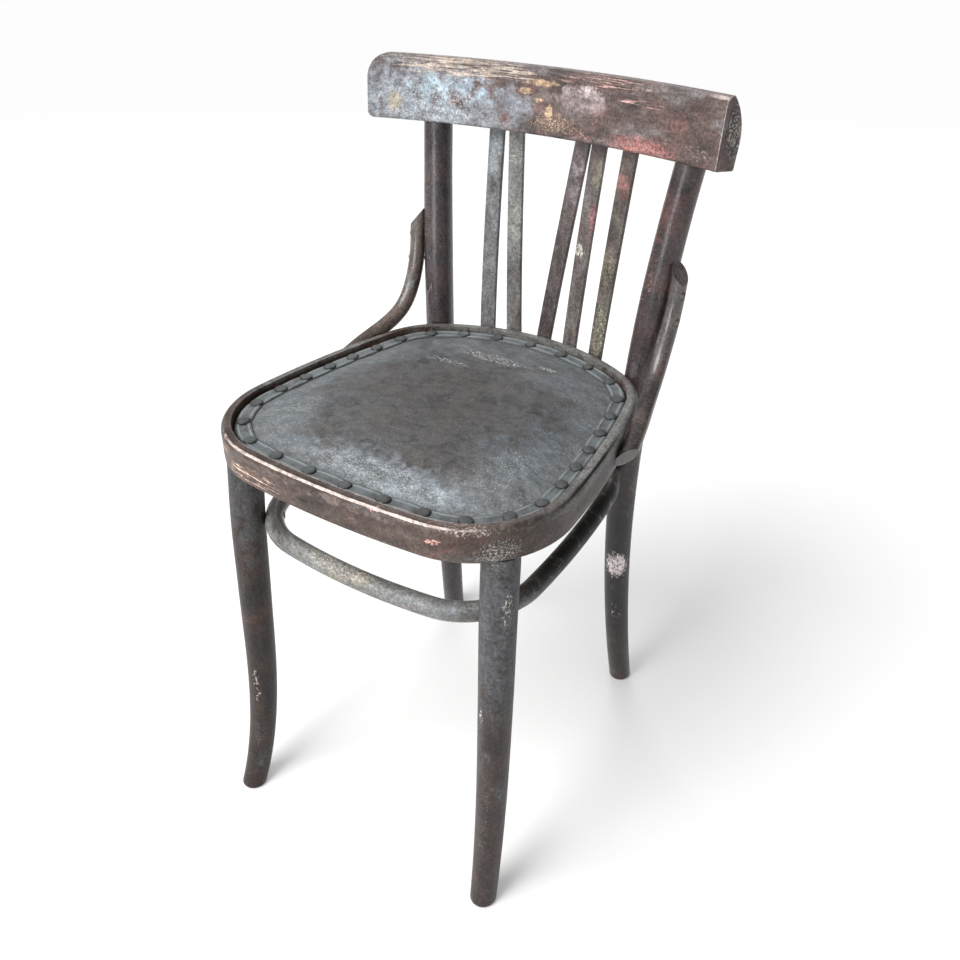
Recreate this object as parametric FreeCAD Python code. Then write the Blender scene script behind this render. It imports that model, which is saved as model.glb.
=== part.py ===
import FreeCAD, Part
import math
import os

# Bentwood bistro chair with a drop-in leather seat held by a nailed braid. Sizes are in millimetres.
# The chair is drawn about its own middle plane, with the sitter facing -Y, +Z up and the floor at Z = 0.
# At the end every piece is moved alike, so that the origin is the middle of the chair's base.

V = FreeCAD.Vector
UP = V(0, 0, 1)

# Seat frame: a bent ring whose four bows meet in rounded corners.
seat_height = 458.3
seat_slope = 0.62
ring_height = 34.8
ring_width = 36.0
ring_top_round = 6.0
ring_bottom_round = 3.0
seat_front_width = 380.0
seat_rear_width = 306.0
seat_front_depth = 163.0
seat_rear_depth = 142.0
seat_front_bow = 18.0
seat_side_bow = 13.0
seat_back_bow = 57.0
seat_front_corner = 100.0
seat_rear_corner = 92.0
rabbet_land = 10.8
rabbet_depth = 15.5
# The opening lies a little before the ring's middle, and the panel a little to the right in it.
opening_shift = V(-0.2, -1.0, 0)

# How far a cutting shape runs past the face that it cuts, and how near a face counts as on a plane.
cut_past = 1.0
near_plane = 0.01

# Drop-in seat: a plywood panel, a felt pad, the leather, the braid and its nails.
panel_play = 2.0
panel_shift = V(1.3, -0.4, 0)
panel_thickness = 8.0
leather_thickness = 1.6
pad_crown = 11.5
pad_shoulder = 6.0
braid_width = 16.0
braid_thickness = 2.2
braid_setback = 0.6
nail_count = 30
nail_start = -0.3
nail_crowding = 0.13
nail_widest_share = 0.07
nail_route_stops = 1200
nail_head_radius = 7.1
nail_head_height = 2.6
nail_shank_radius = 0.8
nail_length = 9.0
braid_to_swell = 2.5
swell_rings = 8
# The pad's edge: how far in from its foot, as a share of the seat's half width, and how high on the shoulder.
pad_edge_shares = [(-0.004, 0.30), (-0.030, 0.78)]
pad_shoulder_share = 0.075

# Front legs: round, swept forward at the foot and tenoned up into the ring.
front_leg_inset_x = 37.6
front_leg_inset_y = 32.3
front_leg_radius = 17.7
front_foot_radius = 13.6
front_tenon_radius = 11.0
front_tenon_length = 16.0
shoulder_sweep_left = 20.5
shoulder_sweep_right = 12.5
foot_sweep_left = 40.8
foot_sweep_right = 28.8
foot_spread_left = -1.5
foot_spread_right = 3.4
foot_round = 3.0
shoulder_sweep_curve = 2.5
foot_sweep_curve_left = 5.6
foot_sweep_curve_right = 3.5
foot_spread_curve = 4.0
front_leg_taper_curve = 1.6
front_leg_sections = 7

# Back members: each is one bent bar from the foot to the crest rail.
waist_inset = 26.2
waist_setback = 24.4
waist_x_height = 240.0
waist_y_height = 275.0
rear_foot_spread = 8.1
rear_foot_sweep = 19.0
post_spread = 30.0
post_lean = 2.2
post_rake = 48.5
post_reach = 700.0
post_radius = 16.8
post_top_radius = 15.8
rear_foot_radius = 13.6
post_tenon_radius = 9.5
post_tenon_length = 30.0
post_spread_curve = 1.82
post_taper_curve = 1.7
post_thickest_above_seat = 80.0
post_sections = 12

# Leg ring: a round bar bent into a rounded square inside the legs.
leg_ring_height = 342.0
leg_ring_radius = 9.8
leg_ring_inside_front_leg_x = 4.7
leg_ring_past_front_leg_y = 4.8
leg_ring_past_waist_x = 5.3
leg_ring_before_waist_y = 11.4
leg_ring_front_bow = 17.0
leg_ring_side_bow = 10.8
leg_ring_back_bow = 19.6
leg_ring_front_corner = 76.0
leg_ring_rear_corner = 93.0

# Crest rail: a broad curved board that leans back and overhangs the posts.
rail_underside = 683.6
rail_bend_radius = 700.0
rail_middle_x = 2.0
rail_front_before_posts = 1.2
rail_reach_left = 225.5
rail_reach_right = 190.0
rail_lean = 7.8
rail_height = 70.8
rail_thickness = 31.0
rail_front_flat = 61.0
rail_crown_depth = 10.0
rail_belly_height = 18.0
rail_belly_tuck = 1.5
rail_back_depth = 24.8
rail_back_height = 53.7
rail_edge_round = 2.5
rail_worn_corner = 29.0
rail_worn_foot = 7.0

# Slats: five thin strips from the back of the ring to the crest rail.
slat_feet = [-74.4, -41.6, -6.2, 30.6, 68.4]
slat_heads = [-78.0, -54.2, 28.2, 48.4, 86.6]
slat_width = 18.2
slat_thickness = 6.0
slat_corner = 1.8
slat_drop = 28.5
slat_tenon_length = 12.0
slat_tenon_shoulder = 1.0
slat_seat_in_rail = 14.5
slat_curve = 1.3
slat_untwist = 1.6
slat_shares = [0.0, 0.12, 0.3, 0.5, 0.75, 1.0, 1.06]
slat_screw_rise = 18.0

# Side braces: bent rods from the outside of each post down to the side of the ring.
brace_radius = 9.0
brace_bevel = 40.0
brace_sections = 14
brace_foot_shift = 1.3
brace_cut_width = 120.0
brace_cut_depth = 60.0
# Points beside the post: out and back from its middle, and above the seat's middle.
brace_at_post = [
    V(21.6, -10.6, 130.2),
    V(23.5, -8.4, 105.7),
    V(24.8, -8.3, 81.7),
    V(26.6, -16.7, 43.7),
]
# Points beside the seat: out from the side of its ring, behind its rear corner, and above its middle.
brace_at_seat = [
    V(12.1, -1.0, 15.7),
    V(9.5, -29.0, 1.2),
    V(9.0, -56.0, -7.8),
    V(7.9, -86.0, -18.3),
    V(6.0, -110.0, -27.3),
]

# Fastenings and clearances.
fit_gap = 0.1
lap_gap = 0.05
screw_radius = 2.0
screw_head_radius = 4.2
screw_head_height = 2.0
brace_screws_above_seat = [96.7, 68.7]
brace_seat_screw_stop = 0.91
screw_bite = 14.0
seat_screw_bite = 5.0
seat_screw_spread = 0.62
bolt_radius = 3.0
bolt_head_radius = 7.5
bolt_head_height = 3.0
washer_flat_depth = 25.0
nut_radius = 6.2
nut_height = 5.0
washer_radius = 8.5
washer_thickness = 1.5

# Places that follow from the sizes above.
front_leg_x = seat_front_width / 2 - front_leg_inset_x
front_leg_y = front_leg_inset_y - seat_front_depth
waist_x = seat_rear_width / 2 - waist_inset
waist_y = seat_rear_depth + waist_setback
leg_ring_front_width = 2 * (front_leg_x - leg_ring_inside_front_leg_x)
leg_ring_rear_width = 2 * (waist_x + leg_ring_past_waist_x)
leg_ring_front_depth = leg_ring_past_front_leg_y - front_leg_y
leg_ring_rear_depth = waist_y - leg_ring_before_waist_y

PIECES = {}


class BowedOutline:
    """A closed outline of four bows joined by four tangent corner arcs."""

    def __init__(self, front_width, rear_width, front_depth, rear_depth, bows, corners):
        self.front_bow, self.side_bow, self.back_bow = bows
        self.corner_front, self.corner_rear = corners
        front_corner = V(front_width / 2, -front_depth, 0)
        rear_corner = V(rear_width / 2, rear_depth, 0)
        self.front = bow_circle(mirrored(front_corner), front_corner, self.front_bow)
        self.side = bow_circle(front_corner, rear_corner, self.side_bow)
        self.back = bow_circle(rear_corner, mirrored(rear_corner), self.back_bow)
        self.front_corner = corner_centre(self.front, self.side, self.corner_front, front_corner)
        self.rear_corner = corner_centre(self.side, self.back, self.corner_rear, rear_corner)

    def edges(self, inset=0.0, height=0.0):
        """Eight arcs, counter-clockwise from the front left, drawn inside the outline by inset."""
        front_touch = touch(self.front, self.front_corner, inset)
        side_front_touch = touch(self.side, self.front_corner, inset)
        side_rear_touch = touch(self.side, self.rear_corner, inset)
        back_touch = touch(self.back, self.rear_corner, inset)
        front_middle = self.front[0] + V(0, -(self.front[1] - inset), 0)
        back_middle = self.back[0] + V(0, self.back[1] - inset, 0)
        side_middle = between(self.side[0], self.side[1] - inset, side_front_touch, side_rear_touch)
        front_turn = between(self.front_corner, self.corner_front - inset, front_touch, side_front_touch)
        rear_turn = between(self.rear_corner, self.corner_rear - inset, side_rear_touch, back_touch)
        route = [
            (mirrored(front_touch), front_middle, front_touch),
            (front_touch, front_turn, side_front_touch),
            (side_front_touch, side_middle, side_rear_touch),
            (side_rear_touch, rear_turn, back_touch),
            (back_touch, back_middle, mirrored(back_touch)),
            (mirrored(back_touch), mirrored(rear_turn), mirrored(side_rear_touch)),
            (mirrored(side_rear_touch), mirrored(side_middle), mirrored(side_front_touch)),
            (mirrored(side_front_touch), mirrored(front_turn), mirrored(front_touch)),
        ]
        lift = V(0, 0, height)
        return [Part.Arc(a + lift, b + lift, c + lift).toShape() for a, b, c in route]

    def wire(self, inset=0.0, height=0.0):
        """The outline as one closed wire."""
        return Part.Wire(self.edges(inset, height))

    def prism(self, inset, low, high):
        """An upright block of the outline's shape, between two heights."""
        return Part.Face(self.wire(inset, low)).extrude(V(0, 0, high - low))


def mirrored(point):
    """The same point on the other side of the chair's middle plane."""
    return V(-point.x, point.y, point.z)


def bow_circle(start, end, bow):
    """Centre and radius of the arc from start to end that bulges to the right of the chord by bow."""
    chord = end - start
    half = chord.Length / 2
    radius = (half * half + bow * bow) / (2 * bow)
    outward = V(chord.y, -chord.x, 0).normalize()
    centre = (start + end) * 0.5 - outward * (radius - bow)
    return centre, radius


def corner_centre(first, second, radius, corner):
    """Centre of the rounding circle that touches two bows from the inside, next to their corner."""
    reach_first = first[1] - radius
    reach_second = second[1] - radius
    across = second[0] - first[0]
    gap = across.Length
    along = (reach_first ** 2 - reach_second ** 2 + gap ** 2) / (2 * gap)
    aside = math.sqrt(reach_first ** 2 - along ** 2)
    axis = across.normalize()
    side = V(-axis.y, axis.x, 0)
    foot = first[0] + axis * along
    return min((foot + side * aside, foot - side * aside), key=lambda point: point.distanceToPoint(corner))


def touch(bow, centre, inset):
    """Where the rounding circle round centre meets a bow, both drawn in by inset."""
    return bow[0] + (centre - bow[0]).normalize() * (bow[1] - inset)


def between(centre, radius, start, end):
    """The middle point of the shorter arc from start to end round centre."""
    return centre + ((start - centre) + (end - centre)).normalize() * radius


def add(name, shape, expected_solids=1):
    """Keep a finished piece under its name, after checking that it is whole."""
    solids = shape.Solids
    if len(solids) != expected_solids:
        raise ValueError("%s has %d solids" % (name, len(solids)))
    PIECES[name] = solids[0] if expected_solids == 1 else Part.makeCompound(solids)


def disc(radius, centre, normal=UP):
    """A circle as a closed wire."""
    return Part.Wire(Part.makeCircle(radius, centre, normal))


def rod(radius, start, end):
    """A straight round bar from start to end."""
    way = end - start
    return Part.makeCylinder(radius, way.Length, start, way)


def dome(radius, height, base, way):
    """A low round head with its flat side on base, bulging along way."""
    ball_radius = (radius ** 2 + height ** 2) / (2 * height)
    centre = V(0, 0, height - ball_radius)
    ball = Part.makeSphere(ball_radius, centre)
    cap = ball.common(Part.makeCylinder(radius + cut_past, height + cut_past))
    cap.Placement = FreeCAD.Placement(base, FreeCAD.Rotation(UP, way))
    return cap


def screw(head_point, way, length, grow=0.0):
    """A round-headed wood screw: its head's underside is at head_point and it points along way."""
    way = V(way).normalize()
    seat = Part.makeCylinder(screw_head_radius + grow, screw_head_height + grow,
                             head_point - way * (screw_head_height + grow), way)
    shank = Part.makeCylinder(screw_radius + grow, length + grow, head_point - way, way)
    if grow:
        return seat.fuse(shank)
    head = dome(screw_head_radius, screw_head_height, head_point, way * -1)
    return head.fuse(shank).removeSplitter()


def turned(local_shape):
    """Put a piece that is drawn flat, with the ring's top face at zero, onto the sloping seat."""
    placed = local_shape.copy()
    placed.rotate(V(0, 0, 0), V(1, 0, 0), -seat_slope)
    placed.translate(V(0, 0, seat_height))
    return placed


def turned_point(point):
    """The same move for one point."""
    return FreeCAD.Rotation(V(1, 0, 0), -seat_slope).multVec(point) + V(0, 0, seat_height)


seat_outline = BowedOutline(
    seat_front_width, seat_rear_width, seat_front_depth, seat_rear_depth,
    (seat_front_bow, seat_side_bow, seat_back_bow), (seat_front_corner, seat_rear_corner))
leg_ring_outline = BowedOutline(
    leg_ring_front_width, leg_ring_rear_width, leg_ring_front_depth, leg_ring_rear_depth,
    (leg_ring_front_bow, leg_ring_side_bow, leg_ring_back_bow),
    (leg_ring_front_corner, leg_ring_rear_corner))


def outward_at(point):
    """Level direction that points out of the seat frame, square to its outline, next to a point."""
    edge = Part.Wire(seat_outline.edges(ring_width / 2))
    nearest = edge.distToShape(Part.Vertex(V(point.x, point.y, 0)))[1][0][0]
    outward = V(point.x - nearest.x, point.y - nearest.y, 0)
    return outward.normalize()


def front_leg_centre(side, height):
    """Centre of a front leg at a height, for side -1 (left) or 1 (right)."""
    top = seat_height - ring_height
    drop = (top - height) / top
    shoulder_sweep = shoulder_sweep_left if side < 0 else shoulder_sweep_right
    foot_sweep = foot_sweep_left if side < 0 else foot_sweep_right
    foot_curve = foot_sweep_curve_left if side < 0 else foot_sweep_curve_right
    foot_spread = foot_spread_left if side < 0 else foot_spread_right
    rise = max(0.0, 1.0 - drop)
    sweep = shoulder_sweep * (1 - rise ** shoulder_sweep_curve) + foot_sweep * abs(drop) ** foot_curve
    spread = foot_spread * abs(drop) ** foot_spread_curve
    return V(side * (front_leg_x + spread), front_leg_y - sweep, height)


def front_leg_bar(side):
    """The bent round bar of a front leg, from the floor to just under the ring."""
    top = seat_height - ring_height
    rings = []
    for step in range(front_leg_sections + 1):
        height = top * step / front_leg_sections
        drop = 1 - step / front_leg_sections
        radius = front_leg_radius - (front_leg_radius - front_foot_radius) * drop ** front_leg_taper_curve
        rings.append(disc(radius, front_leg_centre(side, height)))
    neck = V(side * front_leg_x, front_leg_y, top + front_leg_radius)
    rings.append(disc(front_leg_radius, neck))
    return rounded_foot(Part.makeLoft(rings, True, False))


def rounded_foot(bar):
    """Ease the arris round the foot."""
    arris = [edge for edge in bar.Edges if abs(edge.BoundBox.Center.z) < near_plane]
    return bar.makeFillet(foot_round, arris[:1])


def post_centre(side, height):
    """Centre of a back member at a height: narrowest at its waist, and leaning a little to the right."""
    lean = 0.0
    if height < waist_x_height:
        x = waist_x + rear_foot_spread * ((waist_x_height - height) / waist_x_height) ** 2
    else:
        rise = (height - waist_x_height) / (post_reach - waist_x_height)
        x = waist_x + post_spread * rise ** post_spread_curve
        lean = post_lean * rise ** post_spread_curve
    if height < waist_y_height:
        y = waist_y + rear_foot_sweep * ((waist_y_height - height) / waist_y_height) ** 2
    else:
        y = waist_y + post_rake * ((height - waist_y_height) / (post_reach - waist_y_height)) ** 2
    return V(side * x + lean, y, height)


def post_radius_at(height):
    """A back member is thickest a little above the seat and thins down to its foot."""
    thickest = seat_height + post_thickest_above_seat
    if height > thickest:
        return post_radius - (post_radius - post_top_radius) * (height - thickest) / (post_reach - thickest)
    drop = (thickest - height) / thickest
    return post_radius - (post_radius - rear_foot_radius) * drop ** post_taper_curve


def post_bar(side):
    """The bent round bar of a back member, drawn on past the underside of the rail."""
    top = rail_underside + post_radius
    rings = []
    for step in range(post_sections + 1):
        height = top * step / post_sections
        rings.append(disc(post_radius_at(height), post_centre(side, height)))
    return rounded_foot(Part.makeLoft(rings, True, False))


# The rail's front arris, in the middle of the rail, lies just before the posts.
rail_front_y = post_centre(1, rail_underside).y - rail_front_before_posts


def rail_sweep(section_points, curves):
    """Revolve a section, given in the rail's leaning axes, round the rail's vertical bend axis."""
    lean = math.radians(rail_lean)
    bend_y = rail_front_y - rail_bend_radius

    def place(depth, height):
        y = rail_front_y + depth * math.cos(lean) + height * math.sin(lean)
        z = rail_underside - depth * math.sin(lean) + height * math.cos(lean)
        return V(rail_middle_x, y, z)

    points = [place(*point) for point in section_points]
    edges = []
    for index, start in enumerate(points):
        end = points[(index + 1) % len(points)]
        if index in curves:
            edges.append(Part.Arc(start, place(*curves[index]), end).toShape())
        else:
            edges.append(Part.LineSegment(start, end).toShape())
    section = Part.Face(Part.Wire(edges))
    axis_point = V(rail_middle_x, bend_y, 0)
    left_turn = math.degrees(math.asin(rail_reach_left / rail_bend_radius))
    right_turn = math.degrees(math.asin(rail_reach_right / rail_bend_radius))
    section.rotate(axis_point, UP, left_turn)
    return section.revolve(axis_point, UP, -(left_turn + right_turn))


def rail_depth_axis(turn_x):
    """Radial direction of the rail's bend, and the rail's front arris, next to a sideways place."""
    angle = math.asin((turn_x - rail_middle_x) / rail_bend_radius)
    radial = V(math.sin(angle), math.cos(angle), 0)
    centre = V(rail_middle_x, rail_front_y - rail_bend_radius, rail_underside)
    return radial, centre + radial * rail_bend_radius


def worn_corner_tool(turn_x, outward_side, radius, low):
    """What a rounded end corner takes off the rail: a square block less a round bar through it."""
    radial, arris = rail_depth_axis(turn_x)
    along = V(radial.y, -radial.x, 0) * outward_side
    lean = math.radians(rail_lean)
    rise = UP * math.cos(lean) + radial * math.sin(lean)
    inward = radial * math.cos(lean) - UP * math.sin(lean)
    height = radius if low else rail_height - radius
    middle = arris + rise * height - along * radius - inward * rail_thickness
    depth = rail_thickness * 3
    reach = radius * 2
    far = rise * (-reach if low else reach)
    corner = Part.makePolygon([
        middle,
        middle + along * reach,
        middle + along * reach + far,
        middle + far,
        middle])
    block = Part.Face(corner).extrude(inward * depth)
    return block.cut(Part.makeCylinder(radius, depth, middle, inward))


def slat_station(index, share, grow=0.0):
    """One cross-section of a slat, a share of the way from its foot to the rail's underside."""
    foot_x = slat_feet[index]
    head_x = slat_heads[index]
    foot_z = seat_height - slat_drop
    outer = seat_outline.back
    foot_y = outer[0].y + math.sqrt((outer[1] + lap_gap + slat_thickness / 2) ** 2 - foot_x ** 2)
    foot_turn = math.degrees(math.asin(foot_x / outer[1]))
    radial, arris = rail_depth_axis(head_x)
    head_turn = math.degrees(math.atan2(radial.x, radial.y))
    head_y = arris.y + slat_seat_in_rail
    x = foot_x + (head_x - foot_x) * share
    y = foot_y + (head_y - foot_y) * share ** slat_curve
    z = foot_z + (rail_underside - foot_z) * share
    turn = foot_turn + (head_turn - foot_turn) * min(1.0, share * slat_untwist)
    half_width = slat_width / 2 + grow
    half_thickness = slat_thickness / 2 + grow
    return rounded_strip(half_width, half_thickness, V(x, y, z), turn)


def rounded_strip(half_width, half_thickness, centre, turn):
    """A level rectangle with rounded corners, turned about the upright through its centre."""
    corner = min(slat_corner, half_thickness * 0.8)
    inner_width = half_width - corner
    inner_thickness = half_thickness - corner
    diagonal = corner * math.sqrt(0.5)
    edges = []
    quarters = [(1, -1), (1, 1), (-1, 1), (-1, -1)]
    for index, (across, through) in enumerate(quarters):
        pivot = V(across * inner_width, through * inner_thickness, 0)
        on_side = pivot + V(across * corner, 0, 0)
        on_face = pivot + V(0, through * corner, 0)
        start, end = (on_face, on_side) if index % 2 == 0 else (on_side, on_face)
        middle = pivot + V(across * diagonal, through * diagonal, 0)
        edges.append(Part.Arc(start, middle, end).toShape())
        after = quarters[(index + 1) % 4]
        next_pivot = V(after[0] * inner_width, after[1] * inner_thickness, 0)
        if index % 2 == 0:
            far = next_pivot + V(after[0] * corner, 0, 0)
        else:
            far = next_pivot + V(0, after[1] * corner, 0)
        edges.append(Part.LineSegment(end, far).toShape())
    strip = Part.Wire(edges)
    strip.Placement = FreeCAD.Placement(centre, FreeCAD.Rotation(UP, -turn))
    return strip


def slat_bar(index):
    """A slat from below the ring's middle to past the underside of the rail."""
    return Part.makeLoft([slat_station(index, share) for share in slat_shares], True, False)


def slat_tenon(index, grow=0.0):
    """The thinner end of a slat that stands in the rail."""
    free_length = rail_underside - seat_height + slat_drop
    start = slat_station(index, 1.0 - slat_thickness / free_length, grow - slat_tenon_shoulder)
    end = slat_station(index, 1.0 + (slat_tenon_length + grow) / free_length, grow - slat_tenon_shoulder)
    return Part.makeLoft([start, end], True, True)


def brace_curve(side):
    """The middle line of a brace, for side -1 (left) or 1 (right), from its top to its foot."""
    points = []
    for beside in brace_at_post:
        height = seat_height + beside.z
        post = post_centre(side, height)
        points.append(V(post.x + side * beside.x, post.y + beside.y, height))
    centre, radius = seat_outline.side
    for beside in brace_at_seat:
        y = seat_rear_depth + beside.y
        ring_side = centre.x + math.sqrt(radius ** 2 - (y - centre.y) ** 2)
        points.append(V(side * (ring_side + beside.x) + brace_foot_shift, y, seat_height + beside.z))
    curve = Part.BSplineCurve()
    curve.interpolate(points)
    return curve


def brace_frame(curve, share):
    """Point and direction a share of the way along a brace."""
    first = curve.FirstParameter
    last = curve.LastParameter
    parameter = first + (last - first) * share
    return curve.value(parameter), curve.tangent(parameter)[0]


def brace_bar(side, grow=0.0):
    """The bent rod of a brace, before its ends are bevelled."""
    curve = brace_curve(side)
    rings = []
    for step in range(brace_sections + 1):
        point, tangent = brace_frame(curve, step / brace_sections)
        sideways = (V(1, 0, 0) - tangent * tangent.x).normalize()
        forward = tangent.cross(sideways)
        ring = disc(brace_radius + grow, V(0, 0, 0))
        ring.Placement = FreeCAD.Placement(point, FreeCAD.Rotation(sideways, forward, tangent, "ZXY"))
        rings.append(ring)
    return Part.makeLoft(rings, True, False)


def bevel_block(edge_point, out_way, end_way):
    """A large block beyond the slanting end of a rod: the cut leans from its outer side to its tip."""
    normal = (out_way * math.cos(math.radians(brace_bevel)) +
              end_way * math.sin(math.radians(brace_bevel))).normalize()
    corner = V(-brace_cut_width / 2, -brace_cut_width / 2, 0)
    block = Part.makeBox(brace_cut_width, brace_cut_width, brace_cut_depth, corner)
    block.Placement = FreeCAD.Placement(edge_point, FreeCAD.Rotation(UP, normal))
    return block


def make_seat():
    """The seat ring, its panel and pad, and the leather with its nailed braid."""
    outer = seat_outline.prism(0, -ring_height, 0)
    top_edges = [edge for edge in outer.Edges if edge.BoundBox.ZMin > -near_plane]
    outer = outer.makeFillet(ring_top_round, top_edges)
    low_edges = [edge for edge in outer.Edges if edge.BoundBox.ZMax < near_plane - ring_height]
    outer = outer.makeFillet(ring_bottom_round, low_edges)
    bore = seat_outline.prism(ring_width, -ring_height - cut_past, cut_past)
    rabbet = seat_outline.prism(rabbet_land, -rabbet_depth, cut_past)
    for opening in (bore, rabbet):
        opening.translate(opening_shift)
    ring = outer.cut(bore).cut(rabbet)

    panel_inset = rabbet_land + panel_play
    panel_low = -rabbet_depth
    panel_high = panel_low + panel_thickness
    panel = seat_outline.prism(panel_inset, panel_low, panel_high)

    leather_edge = panel_inset + braid_setback
    leather_high = panel_high + leather_thickness
    narrowest = min(seat_rear_width, seat_front_width) / 2 - leather_edge
    swell_start = 1 - (braid_width + braid_to_swell) / narrowest
    cushion = Cushion(seat_outline.wire(leather_edge), swell_start, narrowest)
    nail_route = seat_outline.wire(leather_edge + braid_width / 2, leather_high + braid_thickness)
    nail_stops = nail_route.discretize(Number=nail_route_stops + 1)
    nail_points = [nail_stops[round(nail_share(index) * nail_route_stops)] for index in range(nail_count)]
    pad = cushion.pad(panel_high)
    cover = cushion.cover(panel_high, nail_points)

    braid_low = leather_high
    braid_high = braid_low + braid_thickness
    braid = seat_outline.prism(leather_edge, braid_low, braid_high).cut(
        seat_outline.prism(leather_edge + braid_width, braid_low - cut_past, braid_high + cut_past))

    heads = []
    bores = []
    for point in nail_points:
        head = dome(nail_head_radius, nail_head_height, point, UP)
        shank = Part.makeCylinder(nail_shank_radius, nail_length, point, UP * -1)
        heads.append(head.fuse(shank).removeSplitter())
        bores.append(Part.makeCylinder(nail_shank_radius + lap_gap, nail_length + fit_gap, point, UP * -1))
    bores = Part.makeCompound(bores)
    panel = panel.cut(bores)
    braid = braid.cut(bores)
    nails = Part.makeCompound(heads)
    for piece in (panel, pad, cover, braid, nails):
        piece.translate(opening_shift + panel_shift)
    return ring, panel, pad, cover, braid, nails


def nail_share(index):
    """How far round the seat a nail stands: they are closer together along its sides."""
    turn = (index + nail_start) / nail_count
    wave = math.sin(4 * math.pi * (turn - nail_widest_share))
    return (turn + nail_crowding * wave / (4 * math.pi)) % 1.0


def seat_screws(grow=0.0):
    """Four screws that rise through the ring's ledge into the panel."""
    ledge = (rabbet_land + ring_width) / 2
    length = ring_height - rabbet_depth + seat_screw_bite
    screws = []
    for bow, corner, way in ((seat_outline.front, seat_outline.front_corner, -1),
                             (seat_outline.back, seat_outline.rear_corner, 1)):
        x = touch(bow, corner, ledge).x * seat_screw_spread
        y = bow[0].y + way * math.sqrt((bow[1] - ledge) ** 2 - x ** 2)
        for side in (-1, 1):
            screws.append(turned(screw(V(side * x, y, -ring_height), UP, length, grow)))
    return screws


class Cushion:
    """The crowned felt pad and the leather over it, both drawn as scaled copies of one outline."""

    def __init__(self, outline, start, narrowest):
        box = outline.BoundBox
        self.outline = outline
        self.middle = V(0, (box.YMin + box.YMax) / 2, 0)
        self.start = start
        self.leather_start = start + leather_thickness / narrowest

    def scaled(self, share, height):
        """The leather's outline, drawn smaller by a share, at a height."""
        copy = self.outline.scaled(share, self.middle)
        copy.translate(V(0, 0, height))
        return copy

    def crown(self, start, foot, base, closed):
        """A swelling that draws in at its foot and is gently crowned above a base height."""
        rise = pad_crown - pad_shoulder
        profile = [(start + share, pad_shoulder * height) for share, height in pad_edge_shares]
        shoulder = start - pad_shoulder_share
        for step in range(swell_rings):
            share = shoulder * (1 - step / swell_rings)
            profile.append((share, pad_shoulder + rise * (1 - (share / shoulder) ** 2)))
        rings = [self.scaled(start, foot)]
        rings += [self.scaled(share, base + height) for share, height in profile]
        top = Part.Face(rings[-1])
        return Part.makeLoft(rings, closed, True), top, rings[0]

    def pad(self, base):
        """The closed felt pad that lies on a base height."""
        return self.crown(self.start, base, base, True)[0]

    def cover(self, base, nail_points):
        """The leather: a flat border under the braid, and the swelling over the pad."""
        high = base + leather_thickness
        outside, outside_top, outside_foot = self.crown(self.leather_start, high, high, False)
        inside, inside_top, inside_foot = self.crown(self.start, base, base, False)
        low_rims = [self.scaled(1.0, base)]
        high_rims = [self.scaled(1.0, high)]
        for point in nail_points:
            low_rims.append(disc(nail_shank_radius + lap_gap, V(point.x, point.y, base)))
            high_rims.append(disc(nail_shank_radius + lap_gap, V(point.x, point.y, high)))
        faces = outside.Faces + inside.Faces + [outside_top, inside_top]
        for low_rim, high_rim in zip(low_rims, high_rims):
            faces += Part.makeLoft([low_rim, high_rim], False, True).Faces
        faces.append(Part.makeFace(high_rims + [outside_foot], "Part::FaceMakerBullseye"))
        faces.append(Part.makeFace(low_rims + [inside_foot], "Part::FaceMakerBullseye"))
        skin = Part.makeShell([single for face in faces for single in face.Faces])
        skin.sewShape()
        body = Part.makeSolid(skin)
        body.fix(0.001, 0.001, 0.01)
        return body


def leg_ring_bar(grow=0.0):
    """The closed bent bar that holds the legs apart."""
    route = leg_ring_outline.wire(0, leg_ring_height)
    start = route.Edges[0].valueAt(route.Edges[0].FirstParameter)
    way = route.Edges[0].tangentAt(route.Edges[0].FirstParameter)
    return route.makePipeShell([disc(leg_ring_radius + grow, start, way)], True, False)


def leg_ring_screws(grow=0.0):
    """One screw through the leg ring into each leg, from the inside."""
    screws = []
    route = leg_ring_outline.wire(0, leg_ring_height)
    for side in (-1, 1):
        for centre in (front_leg_centre(side, leg_ring_height), post_centre(side, leg_ring_height)):
            near = route.distToShape(Part.Vertex(centre))[1][0][0]
            way = (centre - near).normalize()
            head_point = near - way * (leg_ring_radius - screw_head_height / 2)
            screws.append(screw(head_point, way, 2 * leg_ring_radius + screw_bite, grow))
    return screws


def rail_zone():
    """Everything above the plane of the rail's underside, near the rail."""
    overlap = rail_thickness
    corners = [(-overlap, 0), (rail_thickness + overlap, 0),
               (rail_thickness + overlap, rail_height), (-overlap, rail_height)]
    return rail_sweep(corners, {})


def make_rail():
    """The crest rail: flat in front, rolled over at the top, with a rounded belly behind."""
    top = rail_height
    roll = rail_crown_depth * (1 - math.sqrt(0.5))
    corners = [(0, 0), (0, rail_front_flat), (rail_crown_depth, top),
               (rail_thickness, rail_belly_height), (rail_thickness - rail_belly_tuck, 0)]
    curves = {1: (roll, top - (top - rail_front_flat) * (1 - math.sqrt(0.5))),
              2: (rail_back_depth, rail_back_height)}
    rail = rail_sweep(corners, curves)
    low = [edge for edge in rail.Edges if is_long_arris(edge)]
    rail = rail.makeFillet(rail_edge_round, low)
    left = rail_middle_x - rail_reach_left
    rail = rail.cut(worn_corner_tool(left, -1, rail_worn_corner, False))
    return rail.cut(worn_corner_tool(left, -1, rail_worn_foot, True))


def is_long_arris(edge):
    """Whether an edge runs along the bottom of the rail, where its faces meet at a sharp corner."""
    return edge.Length > rail_reach_left and edge.BoundBox.ZMax < rail_underside + rail_belly_height / 4


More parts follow.
